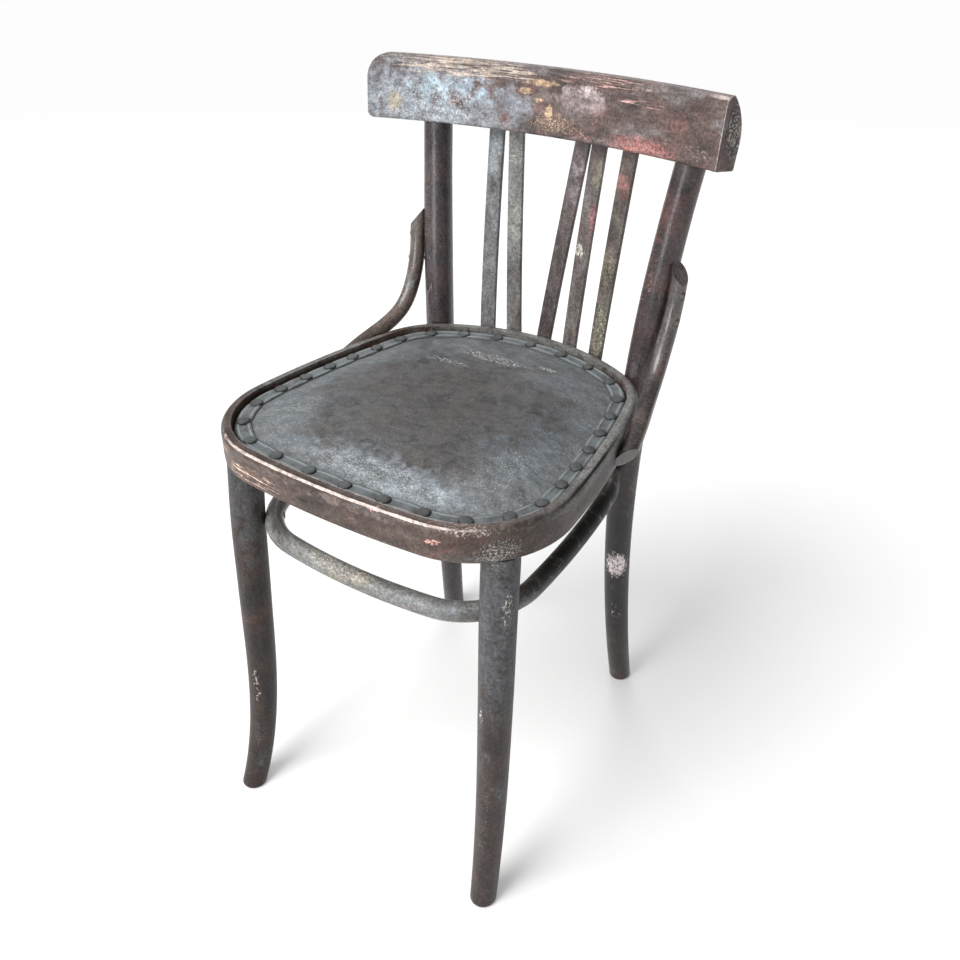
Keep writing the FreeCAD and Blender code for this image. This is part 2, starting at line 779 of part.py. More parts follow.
def post_tenon(side, grow=0.0):
    """The round tenon at the top of a post, which follows the lean of the rail."""
    radial, arris = rail_depth_axis(post_centre(side, rail_underside).x)
    lean = math.radians(rail_lean)
    rise = UP * math.cos(lean) + radial * math.sin(lean)
    inward = radial * math.cos(lean) - UP * math.sin(lean)
    start = arris + inward * (rail_thickness / 2) - rise * post_tenon_radius
    return rod(post_tenon_radius + grow, start, start + rise * (post_tenon_radius + post_tenon_length + grow))


def front_tenon(side, grow=0.0):
    """The round tenon at the top of a front leg, which stands in the ring."""
    foot = V(side * front_leg_x, front_leg_y, -ring_height - front_tenon_radius)
    length = front_tenon_radius + front_tenon_length + grow
    return turned(Part.makeCylinder(front_tenon_radius + grow, length, foot))


def brace_screws(side, grow=0.0):
    """Two screws through a brace into its post."""
    curve = brace_curve(side)
    screws = []
    for rise in brace_screws_above_seat:
        height = seat_height + rise
        level = Part.Plane(V(0, 0, height), UP)
        spot = curve.intersect(level)[0][0]
        spot = V(spot.X, spot.Y, spot.Z)
        way = (post_centre(side, height) - spot).normalize()
        head_point = spot - way * (brace_radius - screw_head_height / 2)
        screws.append(screw(head_point, way, 2 * brace_radius + screw_bite, grow))
    return screws


def brace_seat_screw(side, grow=0.0):
    """One screw from inside the ring into the lower end of a brace."""
    curve = brace_curve(side)
    spot = brace_frame(curve, brace_seat_screw_stop)[0]
    out = outward_at(spot)
    head_point = spot - out * (brace_radius + ring_width)
    return screw(head_point, out, ring_width + brace_radius, grow)


def slat_screws(grow=0.0):
    """One screw through the foot of each slat into the ring."""
    screws = []
    for index in range(len(slat_feet)):
        section = slat_station(index, slat_screw_rise / (rail_underside - seat_height + slat_drop))
        middle = section.BoundBox.Center
        turn = math.asin(slat_feet[index] / seat_outline.back[1])
        way = V(-math.sin(turn), -math.cos(turn), 0)
        head_point = middle - way * (slat_thickness / 2)
        screws.append(screw(head_point, way, slat_thickness + screw_bite, grow))
    return screws


class PostBolt:
    """The bolt that holds a post to the ring, with its washer and nut inside the ring."""

    def __init__(self, side):
        height = seat_height - (rabbet_depth + ring_height) / 2
        self.centre = post_centre(side, height + turned_point(V(0, waist_y, 0)).z - seat_height)
        self.out = outward_at(self.centre)
        inner = seat_outline.wire(ring_width, self.centre.z)
        self.inner_gap = inner.distToShape(Part.Vertex(self.centre))[0]
        self.head_seat = self.centre + self.out * (post_radius - bolt_head_height / 2)
        self.wall = self.centre - self.out * self.inner_gap

    def bolt(self):
        """The bolt, with its round head against the post."""
        tip = self.wall - self.out * (washer_thickness + nut_height + bolt_radius)
        head = dome(bolt_head_radius, bolt_head_height, self.head_seat, self.out)
        return head.fuse(rod(bolt_radius, self.head_seat, tip)).removeSplitter()

    def bore(self):
        """What the bolt takes out of the wood: its hole and the flats under its head and washer."""
        tip = self.wall - self.out * ring_width
        hole = rod(bolt_radius + fit_gap, self.head_seat + self.out, tip)
        head_flat = rod(bolt_head_radius + fit_gap, self.head_seat, self.head_seat + self.out * ring_width)
        washer_flat = rod(washer_radius + fit_gap, self.wall, self.wall - self.out * washer_flat_depth)
        return hole.fuse([head_flat, washer_flat])

    def washer(self):
        """The washer on the inner side of the ring."""
        end = self.wall - self.out * washer_thickness
        return rod(washer_radius, self.wall, end).cut(rod(bolt_radius + fit_gap, self.wall, end))

    def nut(self):
        """The six-sided nut on the washer."""
        start = self.wall - self.out * washer_thickness
        corners = []
        sideways = self.out.cross(UP).normalize() * nut_radius
        upright = UP * nut_radius
        for corner in range(7):
            angle = math.radians(60 * corner)
            corners.append(start + sideways * math.cos(angle) + upright * math.sin(angle))
        block = Part.Face(Part.makePolygon(corners)).extrude(self.out * -nut_height)
        end = start - self.out * (nut_height + cut_past)
        return block.cut(rod(bolt_radius + lap_gap, start + self.out * cut_past, end))


def make_brace(side, post, ring_block):
    """A brace pared to lie on the post and on the ring, with a slanting cut at each end."""
    bar = brace_bar(side)
    curve = brace_curve(side)
    top, top_way = brace_frame(curve, 0.0)
    foot, foot_way = brace_frame(curve, 1.0)
    top_out = (top - post_centre(side, top.z)).normalize()
    foot_out = outward_at(foot)
    top_edge = top - top_out * brace_radius + top_way
    foot_edge = foot - foot_out * brace_radius - foot_way
    bar = bar.cut(bevel_block(top_edge, top_out, top_way * -1))
    bar = bar.cut(bevel_block(foot_edge, foot_out, foot_way))
    return bar.cut(post).cut(ring_block)


def main():
    """Build every piece, join them and write one file for each."""
    ring, panel, pad, cover, braid, nails = make_seat()
    ring = turned(ring)
    ring_block = turned(seat_outline.prism(-lap_gap, -ring_height - lap_gap, lap_gap))
    above_ring_floor = turned(seat_outline.prism(-ring_width, -ring_height, ring_height))
    hoop = leg_ring_bar()
    hoop_room = leg_ring_bar(lap_gap)
    hoop_screws = leg_ring_screws()
    hoop_screw_bores = leg_ring_screws(fit_gap)
    ring_cuts = []

    rail = make_rail()
    zone = rail_zone()
    rail_cuts = []

    for name, side in (("left", -1), ("right", 1)):
        leg = front_leg_bar(side).cut(above_ring_floor).fuse(front_tenon(side)).removeSplitter()
        leg = leg.cut([hoop_room] + hoop_screw_bores)
        add("front_leg_" + name, leg)
        ring_cuts.append(front_tenon(side, fit_gap))

        bolt = PostBolt(side)
        bolt_bore = bolt.bore()
        post_body = post_bar(side).cut(zone)
        brace = make_brace(side, post_body, ring_block)
        screws = brace_screws(side)
        screw_bores = brace_screws(side, fit_gap)
        post = post_body.fuse(post_tenon(side)).removeSplitter()
        post = post.cut([hoop_room, ring_block, bolt_bore] + hoop_screw_bores + screw_bores)
        add("back_post_" + name, post)
        rail_cuts.append(post_tenon(side, fit_gap))
        ring_cuts.append(bolt_bore)

        seat_bore = brace_seat_screw(side, fit_gap)
        ring_cuts.append(seat_bore)
        add("side_brace_" + name, brace.cut(screw_bores + [seat_bore]))
        PIECES.setdefault("brace_post_screws", []).extend(screws)
        PIECES.setdefault("brace_seat_screws", []).append(brace_seat_screw(side))
        PIECES.setdefault("back_post_bolts", []).append(bolt.bolt())
        PIECES.setdefault("back_post_washers", []).append(bolt.washer())
        PIECES.setdefault("back_post_nuts", []).append(bolt.nut())

    slat_bores = slat_screws(fit_gap)
    for index in range(len(slat_feet)):
        slat = slat_bar(index).cut(zone).fuse(slat_tenon(index)).removeSplitter()
        add("slat_%d" % (index + 1), slat.cut([ring_block, slat_bores[index]]))
        rail_cuts.append(slat_tenon(index, fit_gap))
    ring_cuts.extend(slat_bores)
    panel_bores = seat_screws(fit_gap)
    ring_cuts.extend(panel_bores)

    add("seat_ring", ring.cut(ring_cuts))
    add("seat_panel", turned(panel).cut(panel_bores))
    add("seat_padding", turned(pad))
    add("seat_cover", turned(cover))
    add("seat_braid", turned(braid))
    add("braid_nails", turned(nails), nail_count)
    add("leg_ring", hoop.cut(hoop_screw_bores))
    add("crest_rail", rail.cut(rail_cuts))
    PIECES["leg_ring_screws"] = hoop_screws
    PIECES["slat_screws"] = slat_screws()
    PIECES["seat_screws"] = seat_screws()
    write_pieces()


def write_pieces():
    """Move every piece so that the origin is the middle of the chair's base, and write the files."""
    os.makedirs("parts", exist_ok=True)
    shapes = {}
    for name, piece in PIECES.items():
        shapes[name] = Part.makeCompound(piece) if isinstance(piece, list) else piece
    whole = FreeCAD.BoundBox()
    for shape in shapes.values():
        whole.add(shape.optimalBoundingBox(True, False))
    shift = V(-(whole.XMin + whole.XMax) / 2, -(whole.YMin + whole.YMax) / 2, -whole.ZMin)
    print("moved by", shift, "size", whole.XLength, whole.YLength, whole.ZLength)
    for name, shape in shapes.items():
        shape.translate(shift)
        print(name, "solids", len(shape.Solids), "valid", shape.isValid())
        shape.exportStep("parts/%s.step" % name)


main()
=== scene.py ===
"""The looks of an old bentwood bistro chair, built round its packed construction.

Lengths are in metres. Places on the chair are given in the chair's own frame, which has the middle plane
at X = 0, the floor at Z = 0 and the sitter facing -Y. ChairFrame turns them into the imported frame.
"""

import logging
import math
import random
from dataclasses import dataclass, replace
from enum import Enum
from typing import ClassVar

import bmesh
import bpy
from mathutils import Matrix, Vector, noise

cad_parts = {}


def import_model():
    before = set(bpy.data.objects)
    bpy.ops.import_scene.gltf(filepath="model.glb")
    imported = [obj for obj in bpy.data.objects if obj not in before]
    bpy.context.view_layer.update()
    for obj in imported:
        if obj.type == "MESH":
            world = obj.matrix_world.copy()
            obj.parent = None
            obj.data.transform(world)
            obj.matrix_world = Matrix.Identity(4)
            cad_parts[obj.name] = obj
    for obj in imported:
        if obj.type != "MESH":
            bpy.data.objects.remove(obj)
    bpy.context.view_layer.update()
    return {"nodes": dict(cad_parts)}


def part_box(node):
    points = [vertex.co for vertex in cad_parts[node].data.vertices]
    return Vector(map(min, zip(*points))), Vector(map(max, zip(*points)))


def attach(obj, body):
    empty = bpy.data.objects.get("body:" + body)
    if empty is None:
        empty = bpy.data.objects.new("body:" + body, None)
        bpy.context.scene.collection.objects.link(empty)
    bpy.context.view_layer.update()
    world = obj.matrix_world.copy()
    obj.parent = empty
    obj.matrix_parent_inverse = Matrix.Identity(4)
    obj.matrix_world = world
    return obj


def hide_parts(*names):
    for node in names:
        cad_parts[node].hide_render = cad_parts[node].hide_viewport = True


LOG = logging.getLogger("chair")
Colour = tuple[float, float, float]
Place = tuple[float, float, float]
Rates = float | tuple[float, float, float]
Socket = bpy.types.NodeSocket
MM = 0.001
RELIEF = "relief"


@dataclass(frozen=True)
class ChairFrame:
    """Where the chair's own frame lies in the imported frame."""

    origin: Vector
    seat_height: float = 0.4583
    seat_slope: float = math.radians(0.62)

    @staticmethod
    def from_ring(front_reach: float = 0.181) -> "ChairFrame":
        """Find the chair's middle plane and depth from its seat ring.

        Args:
            front_reach: How far the ring reaches in front of the chair's own origin.

        Returns:
            The frame.
        """
        low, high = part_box("seat_ring")
        return ChairFrame(Vector(((low.x + high.x) / 2, low.y + front_reach, 0)))

    def seat_matrix(self) -> Matrix:
        """The move from the flat seat, whose ring's top face is at zero, to its place on the chair."""
        lift = Matrix.Translation(self.origin + Vector((0, 0, self.seat_height)))
        return lift @ Matrix.Rotation(-self.seat_slope, 4, "X")


@dataclass(frozen=True)
class Clouds:
    """A soft noise about 0.5: its rates per metre, its finer layers, their strength and its twist."""

    rates: Rates
    layers: float
    rough: float
    twist: float = 0.0


@dataclass(frozen=True)
class Band:
    """A smooth step: the values between which it runs, and what it goes from and to."""

    low: float
    high: float
    bottom: float = 0.0
    top: float = 1.0

    def sooner(self, low: float, high: float = 0.0) -> "Band":
        """The same step with its two ends brought down."""
        return replace(self, low=self.low - low, high=self.high - high)


@dataclass(frozen=True)
class Layer:
    """A noise cut by a smooth step, and how strongly it shows."""

    clouds: Clouds
    band: Band
    share: float = 1.0


class Sheet:
    """The node tree of one material, with a short method for each kind of node that is used."""

    def __init__(self, name: str) -> None:
        """Make an empty material.

        Args:
            name: The material's name.
        """
        self.material = bpy.data.materials.new(name)
        self.material.use_nodes = True
        self.tree = self.material.node_tree
        self.tree.nodes.clear()
        self.place = self.node("ShaderNodeTexCoord").outputs["Object"]
        self.facing = self.node("ShaderNodeNewGeometry").outputs["Normal"]

    def node(self, kind: str, **settings: object) -> bpy.types.Node:
        """Add a node.

        Args:
            kind: Its type.
            settings: Its properties.

        Returns:
            The node.
        """
        made = self.tree.nodes.new(kind)
        for key, value in settings.items():
            setattr(made, key, value)
        return made

    def feed(self, socket: Socket, value: object) -> None:
        """Link a socket to another one, or give it a constant.

        Args:
            socket: The socket that is fed.
            value: Another socket, a colour, a vector or a number.
        """
        if isinstance(value, bpy.types.NodeSocket):
            self.tree.links.new(value, socket)
        elif isinstance(value, tuple) and len(value) == 3 and socket.type == "RGBA":
            socket.default_value = (*value, 1.0)
        else:
            socket.default_value = value

    def calc(self, operation: str, first: object, second: object = 0.0, third: object = 0.0) -> Socket:
        """One step of arithmetic.

        Args:
            operation: Its kind.
            first: Its first value.
            second: Its second value.
            third: Its third value.

        Returns:
            The result.
        """
        made = self.node("ShaderNodeMath", operation=operation)
        for socket, value in zip(made.inputs, (first, second, third)):
            self.feed(socket, value)
        return made.outputs[0]

    def vector(self, operation: str, first: object, second: object) -> Socket:
        """One step of vector arithmetic.

        Args:
            operation: Its kind.
            first: Its first value.
            second: Its second value.

        Returns:
            The vector, or the number where the step gives one.
        """
        made = self.node("ShaderNodeVectorMath", operation=operation)
        self.feed(made.inputs[0], first)
        self.feed(made.inputs[1], second)
        return made.outputs["Value"] if operation in ("LENGTH", "DOT_PRODUCT") else made.outputs[0]

    def split(self, vector: Socket) -> tuple[Socket, Socket, Socket]:
        """The three parts of a vector.

        Args:
            vector: The vector.

        Returns:
            Its X, Y and Z.
        """
        made = self.node("ShaderNodeSeparateXYZ")
        self.feed(made.inputs[0], vector)
        return made.outputs[0], made.outputs[1], made.outputs[2]

    def join(self, x: object, y: object, z: object) -> Socket:
        """A vector of three parts.

        Args:
            x: Its X.
            y: Its Y.
            z: Its Z.

        Returns:
            The vector.
        """
        made = self.node("ShaderNodeCombineXYZ")
        for socket, value in zip(made.inputs, (x, y, z)):
            self.feed(socket, value)
        return made.outputs[0]

    def spread(self, at: Socket, rates: Rates) -> tuple[Socket, float]:
        """A place stretched by three rates, and the one rate that is left for the pattern itself.

        Args:
            at: The place.
            rates: One rate per metre, or three of them.

        Returns:
            The place and the rate.
        """
        if isinstance(rates, tuple):
            return self.vector("MULTIPLY", at, rates), 1.0
        return at, rates

    def clouds(self, at: Socket, kind: Clouds) -> Socket:
        """Soft noise.

        Args:
            at: Where it is looked up.
            kind: Which noise it is.

        Returns:
            A value about 0.5.
        """
        at, rate = self.spread(at, kind.rates)
        made = self.node("ShaderNodeTexNoise")
        for key, value in (("Vector", at), ("Scale", rate), ("Detail", kind.layers),
                           ("Roughness", kind.rough), ("Distortion", kind.twist)):
            self.feed(made.inputs[key], value)
        return made.outputs[0]

    def cells(self, at: Socket, rates: Rates, feature: str) -> Socket:
        """Distance in a pattern of cells, to their middles or to their edges.

        Args:
            at: Where it is looked up.
            rates: One rate per metre, or three of them.
            feature: The kind of distance.

        Returns:
            The distance.
        """
        at, rate = self.spread(at, rates)
        made = self.node("ShaderNodeTexVoronoi", feature=feature)
        self.feed(made.inputs["Vector"], at)
        self.feed(made.inputs["Scale"], rate)
        return made.outputs["Distance"]

    def step(self, value: object, band: Band) -> Socket:
        """A smooth step over a value.

        Args:
            value: The value.
            band: The step.

        Returns:
            The stepped value.
        """
        made = self.node("ShaderNodeMapRange", interpolation_type="SMOOTHSTEP")
        for socket, entry in zip(made.inputs, (value, band.low, band.high, band.bottom, band.top)):
            self.feed(socket, entry)
        return made.outputs[0]

    def layer(self, at: Socket, layer: Layer) -> Socket:
        """How strongly a layer shows at a place.

        Args:
            at: The place.
            layer: The layer.

        Returns:
            A value from 0 to the layer's share, or between the ends of its step.
        """
        shown = self.step(self.clouds(at, layer.clouds), layer.band)
        return shown if layer.share == 1.0 else self.times(shown, layer.share)

    def mix(self, share: object, first: object, second: object) -> Socket:
        """A mix of two colours.

        Args:
            share: How much of the second colour there is.
            first: The first colour.
            second: The second colour.

        Returns:
            The colour.
        """
        made = self.node("ShaderNodeMix", data_type="RGBA")
        colours = [socket for socket in made.inputs if socket.type == "RGBA"]
        self.feed(made.inputs[0], share)
        self.feed(colours[0], first)
        self.feed(colours[1], second)
        return [socket for socket in made.outputs if socket.type == "RGBA"][0]

    def times(self, *values: object) -> Socket:
        """The product of several values.

        Args:
            values: The values.

        Returns:
            The product.
        """
        product = values[0]
        for value in values[1:]:
            product = self.calc("MULTIPLY", product, value)
        return product

    def dapple(self, colour: Socket, first: Socket, second: Socket) -> Socket:
        """A colour made lighter and darker by two patterns.

        Args:
            colour: The colour.
            first: The first pattern.
            second: The second pattern.

        Returns:
            The new colour.
        """
        amount = self.times(first, second)
        return self.vector("MULTIPLY", colour, self.join(amount, amount, amount))

    def bump(self, height: Socket, depth: float, under: Socket | None = None) -> Socket:
        """Relief of a real depth, laid over other relief.

        Args:
            height: Its pattern.
            depth: How deep it is.
            under: The relief below it.

        Returns:
            The relief, as a normal.
        """
        made = self.node("ShaderNodeBump")
        self.feed(made.inputs["Strength"], 1.0)
        self.feed(made.inputs["Distance"], depth)
        self.feed(made.inputs["Height"], height)
        if under is not None:
            self.feed(made.inputs["Normal"], under)
        return made.outputs[0]

    def finish(self, colour: object, roughness: object, normal: Socket | None = None,
               **constants: float) -> bpy.types.Material:
        """Close the tree with one surface shader.

        Args:
            colour: Its base colour.
            roughness: Its roughness.
            normal: Its relief.
            constants: Values of other sockets, by name, with _ for a space.

        Returns:
            The material.
        """
        shader = self.node("ShaderNodeBsdfPrincipled")
        self.feed(shader.inputs["Base Color"], colour)
        self.feed(shader.inputs["Roughness"], roughness)
        if normal is not None:
            self.feed(shader.inputs["Normal"], normal)
        for key, value in constants.items():
            shader.inputs[key.replace("_", " ")].default_value = value
        output = self.node("ShaderNodeOutputMaterial")
        self.tree.links.new(shader.outputs[0], output.inputs["Surface"])
        return self.material


class Wear(Enum):
    """How a mark breaks up at its edge and inside."""

    CLOUD = "cloud"
    GRIT = "grit"
    SCRATCH = "scratch"
    FLAKE = "flake"
    ARRIS = "arris"


@dataclass(frozen=True)
class Mark:
    """A local patch of wear, bloom, dirt or paint on a finish."""

    kind: Wear
    at: Place
    reach: Place
    colour: Colour
    cover: float = 0.5
    strength: float = 0.9

    INSIDE: ClassVar[Band] = Band(1.0, 0.3)
    MIDDLE_PULL: ClassVar[float] = 0.22
    BARE_LIMIT: ClassVar[float] = 0.95
    COVER_PULL: ClassVar[float] = 0.5
    SOFTNESS: ClassVar[dict[Wear, float]] = {
        Wear.CLOUD: 0.22, Wear.GRIT: 0.10, Wear.SCRATCH: 0.07, Wear.FLAKE: 0.03, Wear.ARRIS: 0.15}

    def lay(self, sheet: Sheet, frame: ChairFrame, breaks: dict[Wear, Socket],
            under: Socket) -> tuple[Socket, Socket]:
        """Paint the mark.

        Args:
            sheet: The material.
            frame: The chair's frame, in which the mark's place is given.
            breaks: The pattern that each kind of wear breaks up along.
            under: The colour below the mark.

        Returns:
            The new colour, and where the mark is.
        """
        away = sheet.vector("SUBTRACT", sheet.place, tuple(frame.origin + Vector(self.at)))
        away = sheet.vector("MULTIPLY", away, tuple(1 / reach for reach in self.reach))
        inside = sheet.step(sheet.vector("LENGTH", away, (0, 0, 0)), self.INSIDE)
        limit = self.BARE_LIMIT - self.COVER_PULL * self.cover
        broken = sheet.calc("MULTIPLY_ADD", inside, self.MIDDLE_PULL, breaks[self.kind])
        broken = sheet.step(broken, Band(limit, limit + self.SOFTNESS[self.kind]))
        share = sheet.times(broken, inside, self.strength)
        return sheet.mix(share, under, self.colour), share


class Grain(Enum):
    """Which way the fibres of a wooden piece run."""

    UPRIGHT = "upright"
    CREST = "crest"
    SEAT = "seat"
    HOOP = "hoop"
    BRACE = "brace"


@dataclass(frozen=True)
class Bend:
    """The circle that a bent piece's fibres follow, in the plane that it is bent in."""

    centre: tuple[float, float]
    radius: float


@dataclass(frozen=True)
class WoodFinish:
    """Old dark stain and varnish on beech: cloudy, flecked, greyed and scratched through."""

    name: str
    grain: Grain
    deep: Colour
    brown: Colour
    haze: Colour
    red: Colour = (0.120, 0.050, 0.042)
    bare: Colour = (0.46, 0.33, 0.25)
    dust: Colour = (0.52, 0.53, 0.53)
    haze_share: float = 0.5
    red_share: float = 0.2
    wear: float = 0.5
    speckle: float = 0.3
    gloss: float = 0.40
    shine: float = 0.35
    marks: tuple[Mark, ...] = ()

    BENDS: ClassVar[dict[Grain, Bend]] = {
        Grain.CREST: Bend((0.002, -0.490), 0.700),
        Grain.SEAT: Bend((0.0, -0.010), 0.175),
        Grain.HOOP: Bend((0.0, 0.000), 0.145),
        Grain.BRACE: Bend((0.040, 0.600), 0.155),
    }
    SEAT_CALM: ClassVar[float] = 0.15
    CLOUDY: ClassVar[Clouds] = Clouds(26.0, 5.0, 0.62, 0.4)
    CLOUDY_BAND: ClassVar[Band] = Band(0.34, 0.60)
    FIGURE: ClassVar[Clouds] = Clouds((9.0, 260.0, 260.0), 4.0, 0.6)
    FIGURE_BAND: ClassVar[Band] = Band(0.40, 0.70)
    FIGURE_SHARE: ClassVar[float] = 0.45
    FLECK: ClassVar[Layer] = Layer(Clouds((170.0, 1500.0, 1500.0), 2.0, 0.5), Band(0.60, 0.68), 0.45)
    REDDISH: ClassVar[Clouds] = Clouds(15.0, 3.0, 0.5, 0.8)
    REDDISH_BAND: ClassVar[Band] = Band(0.62, 0.72)
    REDDISH_PULL: ClassVar[float] = 0.3
    REDDISH_SHARE: ClassVar[float] = 0.75
    HAZE: ClassVar[Clouds] = Clouds((14.0, 38.0, 38.0), 6.0, 0.62, 0.3)
    HAZE_BAND: ClassVar[Band] = Band(0.66, 0.80)
    HAZE_PULLS: ClassVar[tuple[float, float]] = (0.35, 0.25)
    HAZE_MOST: ClassVar[float] = 0.85
    DUST: ClassVar[Clouds] = Clouds(900.0, 2.0, 0.6)
    DUST_BAND: ClassVar[Band] = Band(0.58, 0.70)
    DUST_ON_HAZE: ClassVar[Band] = Band(0.1, 0.9, 0.3)
    SCRATCH: ClassVar[Layer] = Layer(Clouds((28.0, 700.0, 700.0), 5.0, 0.62), Band(0.655, 0.69))
    WORN_ZONE: ClassVar[Clouds] = Clouds((11.0, 30.0, 30.0), 3.0, 0.5)
    WORN_BAND: ClassVar[Band] = Band(0.66, 0.74)
    WORN_PULL: ClassVar[float] = 0.25
    WORN_SHARE: ClassVar[float] = 0.75
    MOTTLE: ClassVar[Layer] = Layer(Clouds(330.0, 5.0, 0.75), Band(0.30, 0.70, 0.50, 1.50))
    SMUDGE: ClassVar[Layer] = Layer(Clouds((45.0, 110.0, 110.0), 4.0, 0.6), Band(0.30, 0.70, 0.74, 1.26))
    BREAKS: ClassVar[dict[Wear, Clouds]] = {
        Wear.CLOUD: Clouds(75.0, 5.0, 0.62, 0.4),
        Wear.GRIT: Clouds(600.0, 4.0, 0.78),
        Wear.SCRATCH: Clouds((32.0, 560.0, 560.0), 6.0, 0.72),
        Wear.FLAKE: Clouds((230.0, 420.0, 420.0), 6.0, 0.68, 0.4),
        Wear.ARRIS: Clouds((60.0, 300.0, 300.0), 5.0, 0.7),
    }
    ARRIS_RADIUS: ClassVar[float] = 1.6 * MM
    ARRIS_SHARP: ClassVar[Band] = Band(0.995, 0.93)
    ROLL_FROM: ClassVar[Band] = Band(0.50, 0.68)
    ROLL_TO: ClassVar[Band] = Band(0.96, 0.86)
    ARRIS_SPREAD: ClassVar[float] = 0.60
    ARRIS_BELOW: ClassVar[float] = -0.45
    HAZE_ROUGHNESS: ClassVar[float] = 0.14
    CLOUDY_ROUGHNESS: ClassVar[float] = 0.14
    LIFTED_ROUGHNESS: ClassVar[float] = 0.16
    SMOOTHEST: ClassVar[float] = -0.06
    CRACKLE_RATES: ClassVar[Rates] = (240.0, 700.0, 700.0)
    CRACKLE_BAND: ClassVar[Band] = Band(0.0, 0.10)
    CRACKLE_DEPTH: ClassVar[float] = 0.05 * MM
    FIGURE_DEPTH: ClassVar[float] = 0.16 * MM
    DUST_DEPTH: ClassVar[float] = 0.03 * MM
    LIFTED_DEPTH: ClassVar[float] = 0.16 * MM

    def fibres(self, sheet: Sheet, frame: ChairFrame) -> Socket:
        """A place on the piece as along, across and through its fibres, in metres.

        Args:
            sheet: The material.
            frame: The chair's frame.

        Returns:
            The vector.
        """
        x, y, z = sheet.split(sheet.vector("SUBTRACT", sheet.place, tuple(frame.origin)))
        if self.grain is Grain.UPRIGHT:
            return sheet.join(z, x, y)
        bend = self.BENDS[self.grain]
        first, second, rest = (y, z, x) if self.grain is Grain.BRACE else (x, y, z)
        first = sheet.calc("SUBTRACT", first, bend.centre[0])
        second = sheet.calc("SUBTRACT", second, bend.centre[1])
        along = sheet.calc("MULTIPLY", sheet.calc("ARCTAN2", first, second), bend.radius)
        out = sheet.vector("LENGTH", sheet.join(first, second, 0.0), (0, 0, 0))
        if self.grain is Grain.SEAT:
            out = sheet.calc("MULTIPLY", out, self.SEAT_CALM)
        return sheet.join(along, out, rest)

    def breaks(self, sheet: Sheet, fibres: Socket) -> dict[Wear, Socket]:
        """The pattern that each kind of wear breaks up along, for the kinds that the marks use.

        Args:
            sheet: The material.
            fibres: Where the long streaks are looked up.

        Returns:
            The patterns.
        """
        patterns: dict[Wear, Socket] = {}
        for kind in {mark.kind: None for mark in self.marks}:
            at = sheet.place if kind in (Wear.CLOUD, Wear.GRIT) else fibres
            patterns[kind] = sheet.clouds(at, self.BREAKS[kind])
            if kind is Wear.ARRIS:
                patterns[kind] = sheet.calc("ADD", self.arrises(sheet), patterns[kind])
        return patterns

    def arrises(self, sheet: Sheet) -> Socket:
        """How much a place is on an arris, or on the rolled edge of a face that looks up.

        Args:
            sheet: The material.

        Returns:
            A value below zero away from arrises.
        """
        rounded = sheet.node("ShaderNodeBevel", samples=4)
        rounded.inputs["Radius"].default_value = self.ARRIS_RADIUS
        bend = sheet.vector("DOT_PRODUCT", rounded.outputs[0], sheet.facing)
        _, _, rise = sheet.split(sheet.facing)
        rolled = sheet.times(sheet.step(rise, self.ROLL_FROM), sheet.step(rise, self.ROLL_TO))
        edge = sheet.calc("MAXIMUM", sheet.step(bend, self.ARRIS_SHARP), rolled)
        return sheet.calc("MULTIPLY_ADD", edge, self.ARRIS_SPREAD, self.ARRIS_BELOW)

    def stain(self, sheet: Sheet, fibres: Socket, cloudy: Socket, figure: Socket, hazy: Socket) -> Socket:
        """The colour of the stain under its wear.

        Args:
            sheet: The material.
            fibres: The place along the fibres.
            cloudy: Where the stain is deep or thin.
            figure: The wood's own streaks.
            hazy: Where the varnish has gone grey.

        Returns:
            The colour.
        """
        colour = sheet.mix(sheet.step(cloudy, self.CLOUDY_BAND), self.deep, self.brown)
        streaks = sheet.times(sheet.step(figure, self.FIGURE_BAND), self.FIGURE_SHARE)
        colour = sheet.mix(streaks, colour, self.brown)
        band = self.REDDISH_BAND.sooner(self.red_share * self.REDDISH_PULL)
        reddish = sheet.layer(sheet.place, Layer(self.REDDISH, band, self.REDDISH_SHARE))
        colour = sheet.mix(reddish, colour, self.red)
        colour = sheet.mix(sheet.times(hazy, self.HAZE_MOST), colour, self.haze)
        return sheet.mix(sheet.layer(fibres, self.FLECK), colour, self.deep)

    def relief(self, sheet: Sheet, fibres: Socket, figure: Socket, dust: Socket, lifted: Socket) -> Socket:
        """The fine relief: crackled varnish, figure, dust and the edges of what is worn away.

        Args:
            sheet: The material.
            fibres: The place along the fibres.
            figure: The wood's own streaks.
            dust: The dust's pattern.
            lifted: Where the varnish is gone.

        Returns:
            The relief.
        """
        crackle = sheet.cells(fibres, self.CRACKLE_RATES, "DISTANCE_TO_EDGE")
        relief = sheet.bump(sheet.step(crackle, self.CRACKLE_BAND), self.CRACKLE_DEPTH)
        relief = sheet.bump(figure, self.FIGURE_DEPTH, relief)
        relief = sheet.bump(dust, self.DUST_DEPTH, relief)
        return sheet.bump(sheet.calc("SUBTRACT", 1.0, lifted), self.LIFTED_DEPTH, relief)

    def make(self, frame: ChairFrame) -> bpy.types.Material:
        """Build the finish.

        Args:
            frame: The chair's frame.

        Returns:
            The material.
        """
        sheet = Sheet(self.name)
        fibres = self.fibres(sheet, frame)
        cloudy = sheet.clouds(sheet.place, self.CLOUDY)
        figure = sheet.clouds(fibres, self.FIGURE)
        pulls = [pull * self.haze_share for pull in self.HAZE_PULLS]
        hazy = sheet.layer(fibres, Layer(self.HAZE, self.HAZE_BAND.sooner(*pulls)))
        colour = self.stain(sheet, fibres, cloudy, figure, hazy)

